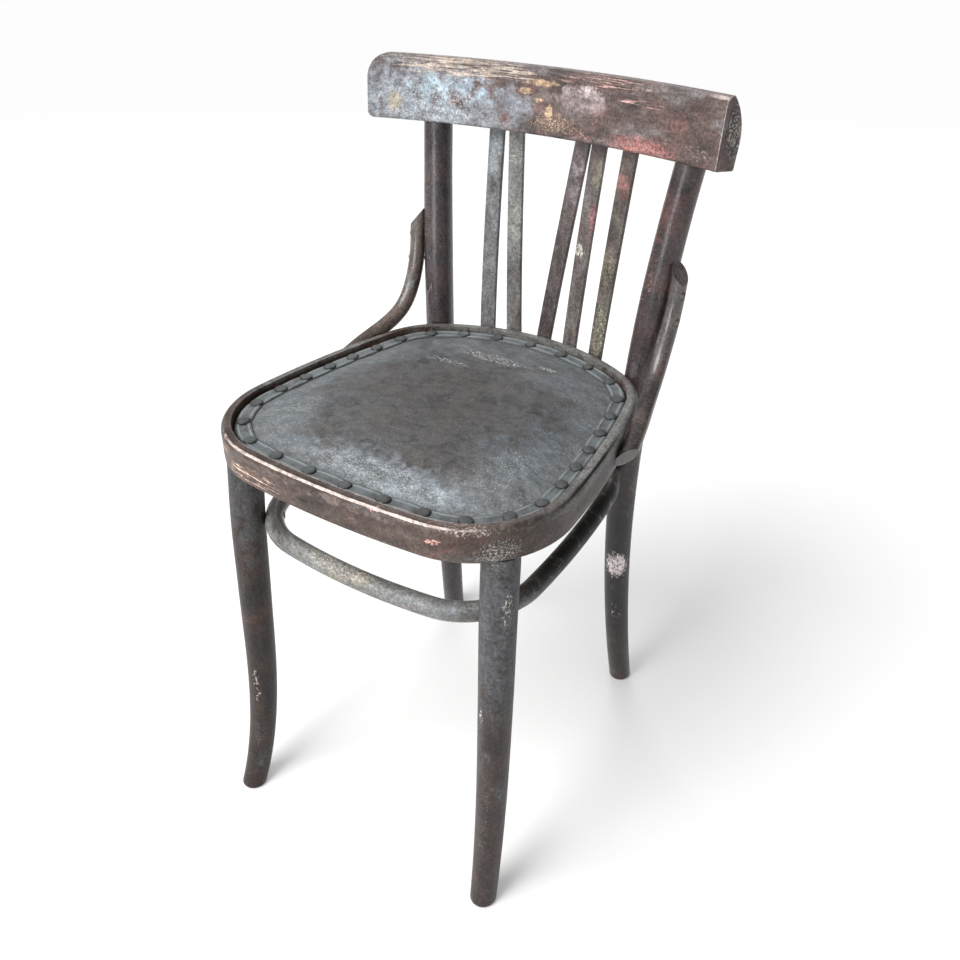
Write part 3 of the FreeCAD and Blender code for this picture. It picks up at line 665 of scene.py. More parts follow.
        dust = sheet.clouds(sheet.place, self.DUST)
        held = sheet.step(hazy, self.DUST_ON_HAZE)
        dusty = sheet.times(sheet.step(dust, self.DUST_BAND), held, self.speckle)
        colour = sheet.mix(dusty, colour, self.dust)
        zone = Layer(self.WORN_ZONE, self.WORN_BAND.sooner(self.wear * self.WORN_PULL))
        lifted = sheet.times(sheet.layer(fibres, self.SCRATCH), sheet.layer(fibres, zone))
        colour = sheet.mix(sheet.times(lifted, self.WORN_SHARE), colour, self.bare)
        breaks = self.breaks(sheet, fibres)
        for mark in self.marks:
            colour, share = mark.lay(sheet, frame, breaks, colour)
            lifted = sheet.calc("MAXIMUM", lifted, share)
        mottle = sheet.layer(sheet.place, self.MOTTLE)
        colour = sheet.dapple(colour, mottle, sheet.layer(fibres, self.SMUDGE))

        roughness = self.gloss + self.SMOOTHEST
        for pattern, amount in ((hazy, self.HAZE_ROUGHNESS), (cloudy, self.CLOUDY_ROUGHNESS),
                                (lifted, self.LIFTED_ROUGHNESS)):
            roughness = sheet.calc("MULTIPLY_ADD", pattern, amount, roughness)
        relief = self.relief(sheet, fibres, figure, dust, lifted)
        return sheet.finish(colour, roughness, relief, Specular_IOR_Level=self.shine)


@dataclass(frozen=True)
class LeatherFinish:
    """Old seat leather: dark grey-blue with brown clouds, fine grain, scuffs and a few pale flecks; paler
    towards the rim, partly rub wear and partly a painted sheen, with a painted sheen and painted glints
    along the front and right edges.
    """

    name: str = "old seat leather"
    dark: Colour = (0.040, 0.038, 0.038)
    blue: Colour = (0.098, 0.120, 0.140)
    brown: Colour = (0.086, 0.076, 0.072)
    pale: Colour = (0.24, 0.26, 0.27)
    fleck: Colour = (0.70, 0.74, 0.74)

    MIDDLE: ClassVar[Place] = (0.0, -0.01, 0.47)
    MIDDLE_RATES: ClassVar[Rates] = (7.2, 7.0, 0.0)
    MIDDLE_BREAK: ClassVar[float] = -0.9
    MIDDLE_BAND: ClassVar[Band] = Band(0.50, -0.10)
    MIDDLE_SHARE: ClassVar[float] = 0.8
    CLOUDY: ClassVar[Clouds] = Clouds(22.0, 6.0, 0.62, 0.6)
    CLOUDY_BAND: ClassVar[Band] = Band(0.35, 0.65)
    BLOTCH: ClassVar[Clouds] = Clouds(55.0, 4.0, 0.6, 0.9)
    BLOTCH_BAND: ClassVar[Band] = Band(0.51, 0.64)
    BLOTCH_SHARE: ClassVar[float] = 0.80
    SCUFF: ClassVar[Layer] = Layer(Clouds((60.0, 30.0, 30.0), 6.0, 0.7, 0.3), Band(0.60, 0.78), 0.45)
    GRAIN_RATE: ClassVar[float] = 1050.0
    GRAIN_WANDER: ClassVar[Place] = (1.0 * MM, 1.0 * MM, 1.0 * MM)
    GRAIN_BAND: ClassVar[Band] = Band(0.45, 0.75, 0.0, 0.35)
    PAINTED_GLINTS: ClassVar[Layer] = Layer(Clouds(1100.0, 2.0, 0.6), Band(0.60, 0.72))
    GLINTS_ON_SHEEN: ClassVar[Band] = Band(0.0, 1.0, 0.12, 0.55)
    RUB_AND_SHEEN_BREAK: ClassVar[float] = 0.5
    RUB_AND_SHEEN_BAND: ClassVar[Band] = Band(0.95, 1.35)
    RUB_AND_SHEEN_SHARE: ClassVar[float] = 0.40
    CHIPS: ClassVar[dict[Wear, Clouds]] = {
        Wear.FLAKE: Clouds((330.0, 800.0, 500.0), 4.0, 0.62),
        Wear.GRIT: Clouds(820.0, 4.0, 0.80),
        Wear.CLOUD: Clouds(65.0, 5.0, 0.65),
    }
    MOTTLE: ClassVar[Layer] = Layer(Clouds(380.0, 5.0, 0.75), Band(0.30, 0.70, 0.66, 1.34))
    SMUDGE: ClassVar[Layer] = Layer(
        Clouds((70.0, 130.0, 90.0), 4.0, 0.65, 0.6), Band(0.30, 0.70, 0.76, 1.24))
    POLISH: ClassVar[Layer] = Layer(Clouds(30.0, 4.0, 0.6), Band(0.3, 0.7, 0.36, 0.50))
    GRAIN_DEPTH: ClassVar[float] = 0.22 * MM
    FINE_RELIEF: ClassVar[tuple[Clouds, float]] = (Clouds(420.0, 4.0, 0.65), 0.5 * MM)
    BROAD_RELIEF: ClassVar[tuple[Clouds, float]] = (Clouds(70.0, 3.0, 0.5), 0.8 * MM)
    SHINE: ClassVar[float] = 0.5

    def marks(self) -> tuple[Mark, ...]:
        """Where the leather has a painted sheen and painted glints along its front and right edges, is
        stained dark or is flecked.
        """
        return (
            # Painted sheen along the front edge, with painted white glints in it.
            Mark(Wear.CLOUD, (0.030, -0.132, 0.458), (0.190, 0.045, 0.03), (0.27, 0.30, 0.335), 0.66, 0.75),
            Mark(Wear.GRIT, (0.030, -0.135, 0.458), (0.170, 0.034, 0.03), self.fleck, 0.40),
            # Painted sheen along the right edge, with painted white glints in it.
            Mark(Wear.CLOUD, (0.110, -0.040, 0.458), (0.070, 0.120, 0.03), (0.130, 0.165, 0.195), 0.55, 0.7),
            Mark(Wear.GRIT, (0.120, -0.070, 0.458), (0.050, 0.100, 0.03), self.fleck, 0.34),
            Mark(Wear.CLOUD, (0.010, -0.020, 0.462), (0.110, 0.080, 0.03), (0.040, 0.037, 0.037), 0.46, 0.8),
            Mark(Wear.CLOUD, (-0.015, 0.045, 0.462), (0.060, 0.050, 0.03), (0.042, 0.038, 0.038), 0.56, 0.8),
            Mark(Wear.GRIT, (-0.110, -0.080, 0.458), (0.035, 0.060, 0.03), self.fleck, 0.34),
            Mark(Wear.FLAKE, (-0.010, 0.104, 0.460), (0.085, 0.020, 0.03), self.fleck, 0.38),
            Mark(Wear.FLAKE, (0.050, 0.118, 0.458), (0.028, 0.012, 0.03), self.fleck, 0.38),
            Mark(Wear.FLAKE, (-0.045, 0.070, 0.462), (0.055, 0.012, 0.03), self.fleck, 0.32),
        )

    def make(self, frame: ChairFrame) -> bpy.types.Material:
        """Build the finish.

        Args:
            frame: The chair's frame.

        Returns:
            The material.
        """
        sheet = Sheet(self.name)
        place = sheet.place
        away = sheet.vector("SUBTRACT", place, tuple(frame.origin + Vector(self.MIDDLE)))
        away = sheet.vector("LENGTH", sheet.vector("MULTIPLY", away, self.MIDDLE_RATES), (0, 0, 0))
        cloudy = sheet.clouds(place, self.CLOUDY)
        blotch = sheet.clouds(place, self.BLOTCH)
        middle = sheet.step(sheet.calc("MULTIPLY_ADD", cloudy, self.MIDDLE_BREAK, away), self.MIDDLE_BAND)
        colour = sheet.mix(sheet.step(cloudy, self.CLOUDY_BAND), self.brown, self.blue)
        colour = sheet.mix(sheet.times(middle, self.MIDDLE_SHARE), colour, self.brown)
        dark = sheet.times(sheet.step(blotch, self.BLOTCH_BAND), self.BLOTCH_SHARE)
        colour = sheet.mix(dark, colour, self.dark)
        colour = sheet.mix(sheet.layer(place, self.SCUFF), colour, self.pale)
        wander = sheet.vector("MULTIPLY", sheet.join(blotch, cloudy, 0.0), self.GRAIN_WANDER)
        grain = sheet.cells(sheet.vector("ADD", place, wander), self.GRAIN_RATE, "F1")
        colour = sheet.mix(sheet.step(grain, self.GRAIN_BAND), colour, self.dark)
        # Paler towards the rim: partly rub wear and partly a painted sheen; the white specks there are
        # painted glints.
        painted_glints = sheet.layer(place, self.PAINTED_GLINTS)
        rub_and_sheen = sheet.step(sheet.calc("MULTIPLY_ADD", cloudy, self.RUB_AND_SHEEN_BREAK, away), self.RUB_AND_SHEEN_BAND)
        colour = sheet.mix(sheet.times(rub_and_sheen, self.RUB_AND_SHEEN_SHARE), colour, self.pale)
        colour = sheet.mix(sheet.times(painted_glints, sheet.step(rub_and_sheen, self.GLINTS_ON_SHEEN)), colour, self.fleck)
        chips = {kind: sheet.clouds(place, clouds) for kind, clouds in self.CHIPS.items()}
        for mark in self.marks():
            colour, _ = mark.lay(sheet, frame, chips, colour)
        colour = sheet.dapple(colour, sheet.layer(place, self.MOTTLE), sheet.layer(place, self.SMUDGE))
        relief = sheet.bump(grain, self.GRAIN_DEPTH)
        for clouds, depth in (self.FINE_RELIEF, self.BROAD_RELIEF):
            relief = sheet.bump(sheet.clouds(place, clouds), depth, relief)
        return sheet.finish(colour, sheet.layer(place, self.POLISH), relief, Specular_IOR_Level=self.SHINE)


@dataclass(frozen=True)
class BraidFinish:
    """The leather strip and the covered nail heads: paler the higher they stand, partly rub wear and partly
    a painted sheen, and dark at their low edges as painted shade, with cloudy dirt and pale specks.
    """

    name: str
    # low is painted shade at the strip's edges and under the nail rims; body and high are paler than the
    # leather, partly rub wear and partly a painted sheen.
    low: Colour = (0.060, 0.066, 0.068)
    high: Colour = (0.62, 0.66, 0.68)
    body: Colour = (0.200, 0.222, 0.232)
    dirt: Colour = (0.045, 0.04, 0.038)

    CLOUDY: ClassVar[Clouds] = Clouds(60.0, 5.0, 0.65)
    BODY_BAND: ClassVar[Band] = Band(0.10, 0.55)
    RIDGE_BAND: ClassVar[Band] = Band(0.72, 1.0)
    RUBBED_BAND: ClassVar[Band] = Band(0.35, 0.65)
    DIRT_BAND: ClassVar[Band] = Band(0.42, 0.66)
    DIRT_SHARE: ClassVar[float] = 0.6
    SPECK: ClassVar[Clouds] = Clouds(900.0, 3.0, 0.6)
    SPECK_BAND: ClassVar[Band] = Band(0.62, 0.72)
    SPECK_SHARE: ClassVar[float] = 0.4
    SPECK_DEPTH: ClassVar[float] = 0.3 * MM
    ROUGHNESS: ClassVar[Band] = Band(0.3, 0.7, 0.42, 0.60)
    SHINE: ClassVar[float] = 0.4

    def make(self) -> bpy.types.Material:
        """Build the finish from the mesh's own record of what is high and worn, painting shade low down and
        a sheen up high.

        Returns:
            The material.
        """
        sheet = Sheet(self.name)
        height = sheet.node("ShaderNodeAttribute", attribute_name=RELIEF).outputs["Fac"]
        cloudy = sheet.clouds(sheet.place, self.CLOUDY)
        # Colour by height: painted shade low down, rub wear and painted sheen on the ridges.
        colour = sheet.mix(sheet.step(height, self.BODY_BAND), self.low, self.body)
        rub_and_sheen = sheet.times(sheet.step(height, self.RIDGE_BAND), sheet.step(cloudy, self.RUBBED_BAND))
        colour = sheet.mix(rub_and_sheen, colour, self.high)
        dirty = sheet.times(sheet.step(cloudy, self.DIRT_BAND), self.DIRT_SHARE)
        colour = sheet.mix(dirty, colour, self.dirt)
        speck = sheet.clouds(sheet.place, self.SPECK)
        specks = sheet.times(sheet.step(speck, self.SPECK_BAND), self.SPECK_SHARE)
        colour = sheet.mix(specks, colour, self.high)
        roughness = sheet.step(cloudy, self.ROUGHNESS)
        relief = sheet.bump(speck, self.SPECK_DEPTH)
        return sheet.finish(colour, roughness, relief, Specular_IOR_Level=self.SHINE)


@dataclass(frozen=True)
class SteelFinish:
    """Dull dark steel with a little rust."""

    name: str = "old screw steel"
    plain: Colour = (0.20, 0.19, 0.18)
    rusty: Colour = (0.075, 0.035, 0.020)
    metal: float = 0.6

    RUST: ClassVar[Clouds] = Clouds(420.0, 5.0, 0.65)
    RUST_BAND: ClassVar[Band] = Band(0.45, 0.62)
    RUST_DEPTH: ClassVar[float] = 0.2 * MM
    ROUGHNESS: ClassVar[Band] = Band(0.4, 0.65, 0.35, 0.75)

    def make(self) -> bpy.types.Material:
        """Build the finish.

        Returns:
            The material.
        """
        sheet = Sheet(self.name)
        rust = sheet.clouds(sheet.place, self.RUST)
        colour = sheet.mix(sheet.step(rust, self.RUST_BAND), self.plain, self.rusty)
        relief = sheet.bump(rust, self.RUST_DEPTH)
        return sheet.finish(colour, sheet.step(rust, self.ROUGHNESS), relief, Metallic=self.metal)


@dataclass(frozen=True)
class PlyFinish:
    """The bare plywood panel, seen from below: pale rotary-cut veneer gone brown."""

    name: str = "old plywood"
    dark: Colour = (0.20, 0.125, 0.07)
    pale: Colour = (0.33, 0.22, 0.13)
    pore: Colour = (0.09, 0.055, 0.035)
    stain: Colour = (0.10, 0.065, 0.045)
    roughness: float = 0.72
    shine: float = 0.3

    FIGURE: ClassVar[Clouds] = Clouds((7.0, 90.0, 500.0), 5.0, 0.6, 1.2)
    FIGURE_BAND: ClassVar[Band] = Band(0.35, 0.65)
    FIGURE_DEPTH: ClassVar[float] = 0.4 * MM
    PORES: ClassVar[Layer] = Layer(Clouds((120.0, 1600.0, 1600.0), 2.0, 0.5), Band(0.58, 0.66), 0.6)
    STAINS: ClassVar[Layer] = Layer(Clouds(14.0, 4.0, 0.6), Band(0.5, 0.7), 0.6)

    def make(self) -> bpy.types.Material:
        """Build the finish.

        Returns:
            The material.
        """
        sheet = Sheet(self.name)
        figure = sheet.clouds(sheet.place, self.FIGURE)
        colour = sheet.mix(sheet.step(figure, self.FIGURE_BAND), self.dark, self.pale)
        colour = sheet.mix(sheet.layer(sheet.place, self.PORES), colour, self.pore)
        colour = sheet.mix(sheet.layer(sheet.place, self.STAINS), colour, self.stain)
        relief = sheet.bump(figure, self.FIGURE_DEPTH)
        return sheet.finish(colour, self.roughness, relief, Specular_IOR_Level=self.shine)


class SeatOutline:
    """The closed outline of a flat seat piece, read from its node and laid out flat."""

    EASINGS = 6

    def __init__(self, node: bpy.types.Object, flat: Matrix, spacing: float = 1.5 * MM) -> None:
        """Read the outline.

        Args:
            node: The CAD node, whose outer edge is convex.
            flat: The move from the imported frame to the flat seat.
            spacing: Distance between the outline's points.
        """
        places = [flat @ vertex.co for vertex in node.data.vertices]
        self.bottom = min(place.z for place in places)
        hull = self.convex([(round(place.x, 6), round(place.y, 6)) for place in places])
        self.points = self.spread(hull, spacing)
        self.length = sum((b - a).length for a, b in zip(self.points, self.points[1:] + self.points[:1]))
        spans = [[point[axis] for point in self.points] for axis in (0, 1)]
        self.middle = Vector([(min(span) + max(span)) / 2 for span in spans])

    @staticmethod
    def convex(places: list[tuple[float, float]]) -> list[Vector]:
        """The convex outline of flat points, counter-clockwise.

        Args:
            places: The points.

        Returns:
            The corners of the outline.
        """
        ordered = sorted(set(places))

        def half(row: list[tuple[float, float]]) -> list[tuple[float, float]]:
            """One side of the outline.

            Args:
                row: The points, in order from one end to the other.

            Returns:
                The corners of that side, without the last one.
            """
            chain: list[tuple[float, float]] = []
            for x, y in row:
                while len(chain) > 1:
                    (ax, ay), (bx, by) = chain[-2], chain[-1]
                    if (bx - ax) * (y - ay) - (by - ay) * (x - ax) > 0:
                        break
                    chain.pop()
                chain.append((x, y))
            return chain[:-1]

        return [Vector(place) for place in half(ordered) + half(ordered[::-1])]

    @staticmethod
    def spread(hull: list[Vector], spacing: float) -> list[Vector]:
        """The outline as evenly spaced points, with the corners of its short runs eased.

        Args:
            hull: The corners of the outline.
            spacing: Distance between two points.

        Returns:
            The points.
        """
        total = sum((b - a).length for a, b in zip(hull, hull[1:] + hull[:1]))
        count = int(total / spacing)
        points = []
        index = 0
        travelled = 0.0
        for step in range(count):
            goal = total * step / count
            while True:
                start = hull[index % len(hull)]
                end = hull[(index + 1) % len(hull)]
                run = (end - start).length
                if travelled + run >= goal or index > 2 * len(hull):
                    break
                travelled += run
                index += 1
            points.append(start.lerp(end, (goal - travelled) / run if run else 0.0))
        for _ in range(SeatOutline.EASINGS):
            points = [(points[i - 1] + points[i] * 2 + points[(i + 1) % count]) / 4 for i in range(count)]
        return points

    def outward(self, index: int) -> Vector:
        """The direction out of the outline at one of its points."""
        along = self.points[(index + 1) % len(self.points)] - self.points[index - 1]
        return Vector((along.y, -along.x)).normalized()

    def share_at(self, index: int) -> float:
        """How far round the outline a point lies, from 0 to 1."""
        return index / len(self.points)

    def gap(self, turn: float, shares: list[float]) -> float:
        """How far along the outline a place lies from the nearest of several others."""
        return min(abs((turn - share + 0.5) % 1.0 - 0.5) for share in shares) * self.length


def flat_mesh(name: str, places: list[Vector], faces: list[tuple[int, ...]],
              move: Matrix) -> bpy.types.Object:
    """Make a smooth mesh piece from places on the flat seat.

    Args:
        name: The piece's name.
        places: Its vertices, on the flat seat.
        faces: Its faces.
        move: The move to their place on the chair.

    Returns:
        The piece.
    """
    mesh = bpy.data.meshes.new(name)
    mesh.from_pydata([move @ place for place in places], [], faces)
    mesh.validate()
    mesh.update()
    for polygon in mesh.polygons:
        polygon.use_smooth = True
    piece = bpy.data.objects.new(name, mesh)
    bpy.context.scene.collection.objects.link(piece)
    return piece


def web(ring_size: int, ring_count: int) -> list[tuple[int, ...]]:
    """Quads between closed rings of vertices that follow one another.

    Args:
        ring_size: How many vertices a ring has.
        ring_count: How many rings there are.

    Returns:
        The faces.
    """
    faces: list[tuple[int, ...]] = []
    for ring in range(ring_count - 1):
        base = ring * ring_size
        for index in range(ring_size):
            after = (index + 1) % ring_size
            faces.append((base + index, base + after, base + ring_size + after, base + ring_size + index))
    return faces


@dataclass
class Cushion:
    """The leather over its pad: a border that lies under the braid, and a crowned, drawn-in swelling."""

    frame: ChairFrame
    border: float = 17.4 * MM
    thickness: float = 1.6 * MM
    shoulder: float = 6.4 * MM
    shoulder_run: float = 0.035
    crown: float = 11.6 * MM
    start_share: float = 0.86
    rings: int = 46
    crowding: float = 1.35
    sides: int = 256
    border_shares: tuple[float, ...] = (0.0, 0.35, 0.7, 1.0)
    underside_shares: tuple[float, ...] = (0.0, 0.5, 0.9)
    pressure: float = 3.2
    stretch: float = 40.0
    shear: float = 20.0
    bending: float = 2.0
    quality: int = 6
    frames: int = 20
    travel: float = 7.0 * MM
    dents: tuple[tuple[float, float], ...] = ((14.0, 1.5 * MM), (33.0, 0.5 * MM))
    dent_start: float = 6.0
    pucker_reach: float = 8.0 * MM
    pucker_depth: float = 0.8 * MM
    pucker_rise: float = 0.3
    pucker_start: float = 25.0
    pucker_run: float = 0.09

    def profile(self, share: float) -> float:
        """Height of the swelling above the border, from its foot at 0 to the middle at 1.

        Args:
            share: How far in the place lies.

        Returns:
            The height.
        """
        rise = 1.0 - math.exp(-share / self.shoulder_run)
        dome = 1.0 - (1.0 - share) ** 2
        return self.shoulder * rise + (self.crown - self.shoulder) * dome

    def loops(self, outline: SeatOutline, panel_top: float) -> list[list[Vector]]:
        """The leather's closed loops, from under its middle out to the rim and back in over the top.

        Args:
            outline: The leather's edge.
            panel_top: Height of the panel on the flat seat.

        Returns:
            The loops, all of the same number of places.
        """
        step = len(outline.points) / self.sides
        picks = [int(index * step) for index in range(self.sides)]
        rim = [outline.points[pick] for pick in picks]
        foot = [outline.points[pick] - outline.outward(pick) * self.border for pick in picks]
        high = panel_top + self.thickness
        loops: list[list[Vector]] = []
        for share in reversed(self.underside_shares):
            loops.append([Vector((*place.lerp(outline.middle, share), panel_top)) for place in rim])
        for share in self.border_shares:
            loops.append([Vector((*a.lerp(b, share), high)) for a, b in zip(rim, foot)])
        for ring in range(1, self.rings):
            share = (ring / self.rings) ** self.crowding
            lift = high + self.profile(share) * self.start_share
            loops.append([Vector((*place.lerp(outline.middle, share), lift)) for place in foot])
        return loops

    def build(self, outline: SeatOutline, panel_top: float, nail_shares: list[float]) -> bpy.types.Object:
        """Model the closed form, let it swell, and ease it into its final dents.

        Args:
            outline: The leather's edge.
            panel_top: Height of the panel on the flat seat.
            nail_shares: How far round the outline each nail stands.

        Returns:
            The piece.
        """
        loops = self.loops(outline, panel_top)
        places = [place for loop in loops for place in loop]
        faces = web(self.sides, len(loops))
        places.append(Vector((*outline.middle, panel_top)))
        places.append(Vector((*outline.middle, panel_top + self.thickness + self.crown * self.start_share)))
        below, above = len(places) - 2, len(places) - 1
        last = (len(loops) - 1) * self.sides
        faces += [(below, (index + 1) % self.sides, index) for index in range(self.sides)]
        faces += [(above, last + index, last + (index + 1) % self.sides) for index in range(self.sides)]
        piece = flat_mesh("seat_leather", places, faces, self.frame.seat_matrix())
        held = (len(self.underside_shares) + len(self.border_shares)) * self.sides
        self.swell(piece, held, below)
        self.ease(piece, held, outline, nail_shares)
        return piece

    def swell(self, piece: bpy.types.Object, held: int, below: int) -> None:
        """Blow the leather up with a short cloth simulation, held at its border and underside.

        Args:
            piece: The piece.
            held: How many of its first vertices are held.
            below: The vertex in the middle of the underside, which is held too.
        """
        start = [vertex.co.copy() for vertex in piece.data.vertices]
        group = piece.vertex_groups.new(name="held")
        group.add([*range(held), below], 1.0, "REPLACE")
        cloth = piece.modifiers.new("cloth", "CLOTH")
        cloth.settings.quality = self.quality
        cloth.settings.vertex_group_mass = group.name
        cloth.settings.use_pressure = True
        cloth.settings.uniform_pressure_force = self.pressure
        cloth.settings.tension_stiffness = self.stretch
        cloth.settings.compression_stiffness = self.stretch
        cloth.settings.shear_stiffness = self.shear
        cloth.settings.bending_stiffness = self.bending
        cloth.settings.effector_weights.gravity = 0.0
        cloth.point_cache.frame_start = 1
        cloth.point_cache.frame_end = self.frames
        scene = bpy.context.scene
        for frame_number in range(1, self.frames + 1):
            scene.frame_set(frame_number)
        shaped = piece.evaluated_get(bpy.context.evaluated_depsgraph_get())
        result = [vertex.co.copy() for vertex in shaped.data.vertices]
        piece.modifiers.remove(cloth)
        scene.frame_set(1)
        for vertex, old, new in zip(piece.data.vertices, start, result):
            move = new - old
            vertex.co = old + move * min(1.0, self.travel / max(move.length, 1e-9))
        piece.data.update()

    def ease(self, piece: bpy.types.Object, held: int, outline: SeatOutline,
             nail_shares: list[float]) -> None:
        """Add the broad dents of long use and the small puckers between the nails.

        Args:
            piece: The piece.
            held: How many of its first vertices stay as they are.
            outline: The leather's edge.
            nail_shares: How far round the outline each nail stands.
        """
        up = self.frame.seat_matrix().to_3x3() @ Vector((0, 0, 1))
        for offset, vertex in enumerate(list(piece.data.vertices)[held:]):
            ring, side = divmod(offset, self.sides)
            share = min(1.0, (ring + 1) / self.rings) ** self.crowding
            dent = sum(noise.noise(vertex.co * rate) * depth for rate, depth in self.dents)
            inward = share ** 0.5 * min(1.0, share * self.dent_start)
            nearest = outline.gap(side / self.sides, nail_shares)
            pull = math.exp(-(nearest / self.pucker_reach) ** 2)
            pucker = (self.pucker_rise - pull) * self.pucker_depth * math.exp(-share / self.pucker_run)
            vertex.co += up * (dent * inward + pucker * min(1.0, share * self.pucker_start))
        piece.data.update()


@dataclass
class Braid:
    """The embossed leather strip round the seat, and the covered nails that hold it."""

    frame: ChairFrame
    width: float = 16.0 * MM
    body: float = 1.7 * MM
    edge_run: float = 0.45 * MM
    ridge: float = 0.75 * MM
    ridge_place: float = 0.20
    ridge_width: float = 0.9 * MM
    ridge_wear_and_sheen: float = 0.65
    edge_shade_lift: float = 0.35
    hollow: float = 0.25 * MM
    hollow_share: float = 0.2
    lanes: int = 24
    thinnest: float = 0.05 * MM
    pinch_reach: float = 7.5 * MM
    pinch_narrows: float = 0.05
    pinch_thins: float = 0.35
    pinch_darkens: float = 0.5
    wander: tuple[float, float] = (47.0, 0.35 * MM)
    sag: tuple[float, float] = (90.0, 0.25 * MM)
    head_radius: float = 7.0 * MM
    head_height: float = 2.6 * MM
    head_sides: int = 40
    head_tilt: float = 4.0
    head_long: tuple[float, float] = (0.97, 1.06)
    head_short: tuple[float, float] = (0.88, 0.97)
    head_dents: tuple[float, float] = (260.0, 0.35 * MM)
    head_wear_and_sheen: float = 0.75
    head_sinks: float = 0.9
    seed: int = 7

    WANDER_ROW: ClassVar[tuple[float, float]] = (0.3, 0.7)
    SAG_ROW: ClassVar[tuple[float, float]] = (4.3, 1.7)
    NOISE_SPAN: ClassVar[float] = 50.0
    UNDER_HEAD: ClassVar[float] = -0.12
    HEAD_PROFILE: ClassVar[tuple[tuple[float, float], ...]] = (
        (0.10, 1.00), (0.30, 0.97), (0.50, 0.90), (0.68, 0.78), (0.82, 0.60), (0.92, 0.40),
        (0.98, 0.20), (1.0, 0.05), (0.98, -0.10), (0.90, -0.16), (0.80, -0.12))

    def height(self, across: float) -> tuple[float, float]:
        """Thickness of the strip, and how worn it is, at a share of its width; the finish also paints that
        value as shade at the edges and sheen on the ridges.

        Args:
            across: From 0 at the outer edge to 1 at the inner edge.

        Returns:
            The height, and a value from 0 to 1 for wear, painted shade and painted sheen.
        """
        distance = min(across, 1 - across) * self.width
        edge = 1 - math.exp(-distance / self.edge_run)
        bumps = 0.0
        for place in (self.ridge_place, 1 - self.ridge_place):
            bumps += math.exp(-((across - place) * self.width / self.ridge_width) ** 2)
        centre = math.exp(-((across - 0.5) / self.hollow_share) ** 4)
        thick = self.body * edge + self.ridge * bumps - self.hollow * centre
        return thick, min(1.0, self.edge_shade_lift * edge + bumps * self.ridge_wear_and_sheen)

    def build_strip(self, outline: SeatOutline, low: float, nail_shares: list[float]) -> bpy.types.Object:
        """Model the strip as one closed band.

        Args:
            outline: The strip's outer edge.
            low: Height of the leather below it on the flat seat.
            nail_shares: How far round the outline each nail stands.

        Returns:
            The piece.
        """
        lanes = [lane / self.lanes for lane in range(self.lanes + 1)]
        places: list[Vector] = []
        relief: list[float] = []
        for index, point in enumerate(outline.points):
            inward = -outline.outward(index)
            turn = outline.share_at(index)
            pinch = math.exp(-(outline.gap(turn, nail_shares) / self.pinch_reach) ** 2)
            wander = noise.noise(Vector((turn * self.wander[0], *self.WANDER_ROW))) * self.wander[1]
            sag = noise.noise(Vector((turn * self.sag[0], *self.SAG_ROW))) * self.sag[1]
            width = self.width * (1 + self.pinch_narrows * (0.5 - pinch)) + wander
            for lane in lanes:
                thick, worn = self.height(lane)
                thick = thick * (1 - self.pinch_thins * pinch) + sag * math.sin(math.pi * lane)
                flat = point + inward * (lane * width)
                places.append(Vector((*flat, low + max(thick, self.thinnest))))
                relief.append(worn * (1 - self.pinch_darkens * pinch))
            for lane in (1.0, 0.0):
                flat = point + inward * (lane * width)
                places.append(Vector((*flat, low)))
                relief.append(0.0)
        piece = flat_mesh("embossed_braid", places, self.band(len(outline.points), len(lanes) + 2),
                          self.frame.seat_matrix())
        self.store(piece, relief)
        return piece

    @staticmethod
    def band(count: int, row: int) -> list[tuple[int, ...]]:
        """Quads round a closed band of closed rows.

        Args:
            count: How many rows there are.
            row: How many vertices each row has.

        Returns:
            The faces.
        """
        faces = []
        for index in range(count):
            here, after = index * row, (index + 1) % count * row
            for lane in range(row):
                beside = (lane + 1) % row
                faces.append((here + lane, after + lane, after + beside, here + beside))
        return faces

    @staticmethod
    def store(piece: bpy.types.Object, values: list[float]) -> None:
        """Keep how high and worn each vertex is, for the finish, which paints shade where it is low and a
        sheen where it is high.
        """
        attribute = piece.data.attributes.new(RELIEF, "FLOAT", "POINT")
        attribute.data.foreach_set("value", values)

    def build_nails(self, spots: list[Vector], low: float) -> bpy.types.Object:
        """Model the covered nails: low domes with a curled rim, each a little askew.

        Args:
            spots: Where each nail's head is, on the flat seat.
            low: Height of the strip's top.

        Returns:
            The piece.
        """
        draw = random.Random(self.seed)
        places: list[Vector] = []
        faces: list[tuple[int, ...]] = []
        relief: list[float] = []
        for spot in spots:
            base = len(places)
            self.add_head(draw, Vector((spot.x, spot.y, low)), places, relief)
            rings = len(self.HEAD_PROFILE)
            for ring in range(rings - 1):
                for side in range(self.head_sides):
                    after = (side + 1) % self.head_sides
                    first = base + ring * self.head_sides
                    beyond = first + self.head_sides
                    faces.append((first + side, beyond + side, beyond + after, first + after))
            last = base + (rings - 1) * self.head_sides
            for side in range(self.head_sides):
                after = (side + 1) % self.head_sides
                faces.append((len(places) - 2, base + side, base + after))
                faces.append((len(places) - 1, last + after, last + side))
        piece = flat_mesh("covered_nails", places, faces, self.frame.seat_matrix())
        self.store(piece, relief)
        return piece

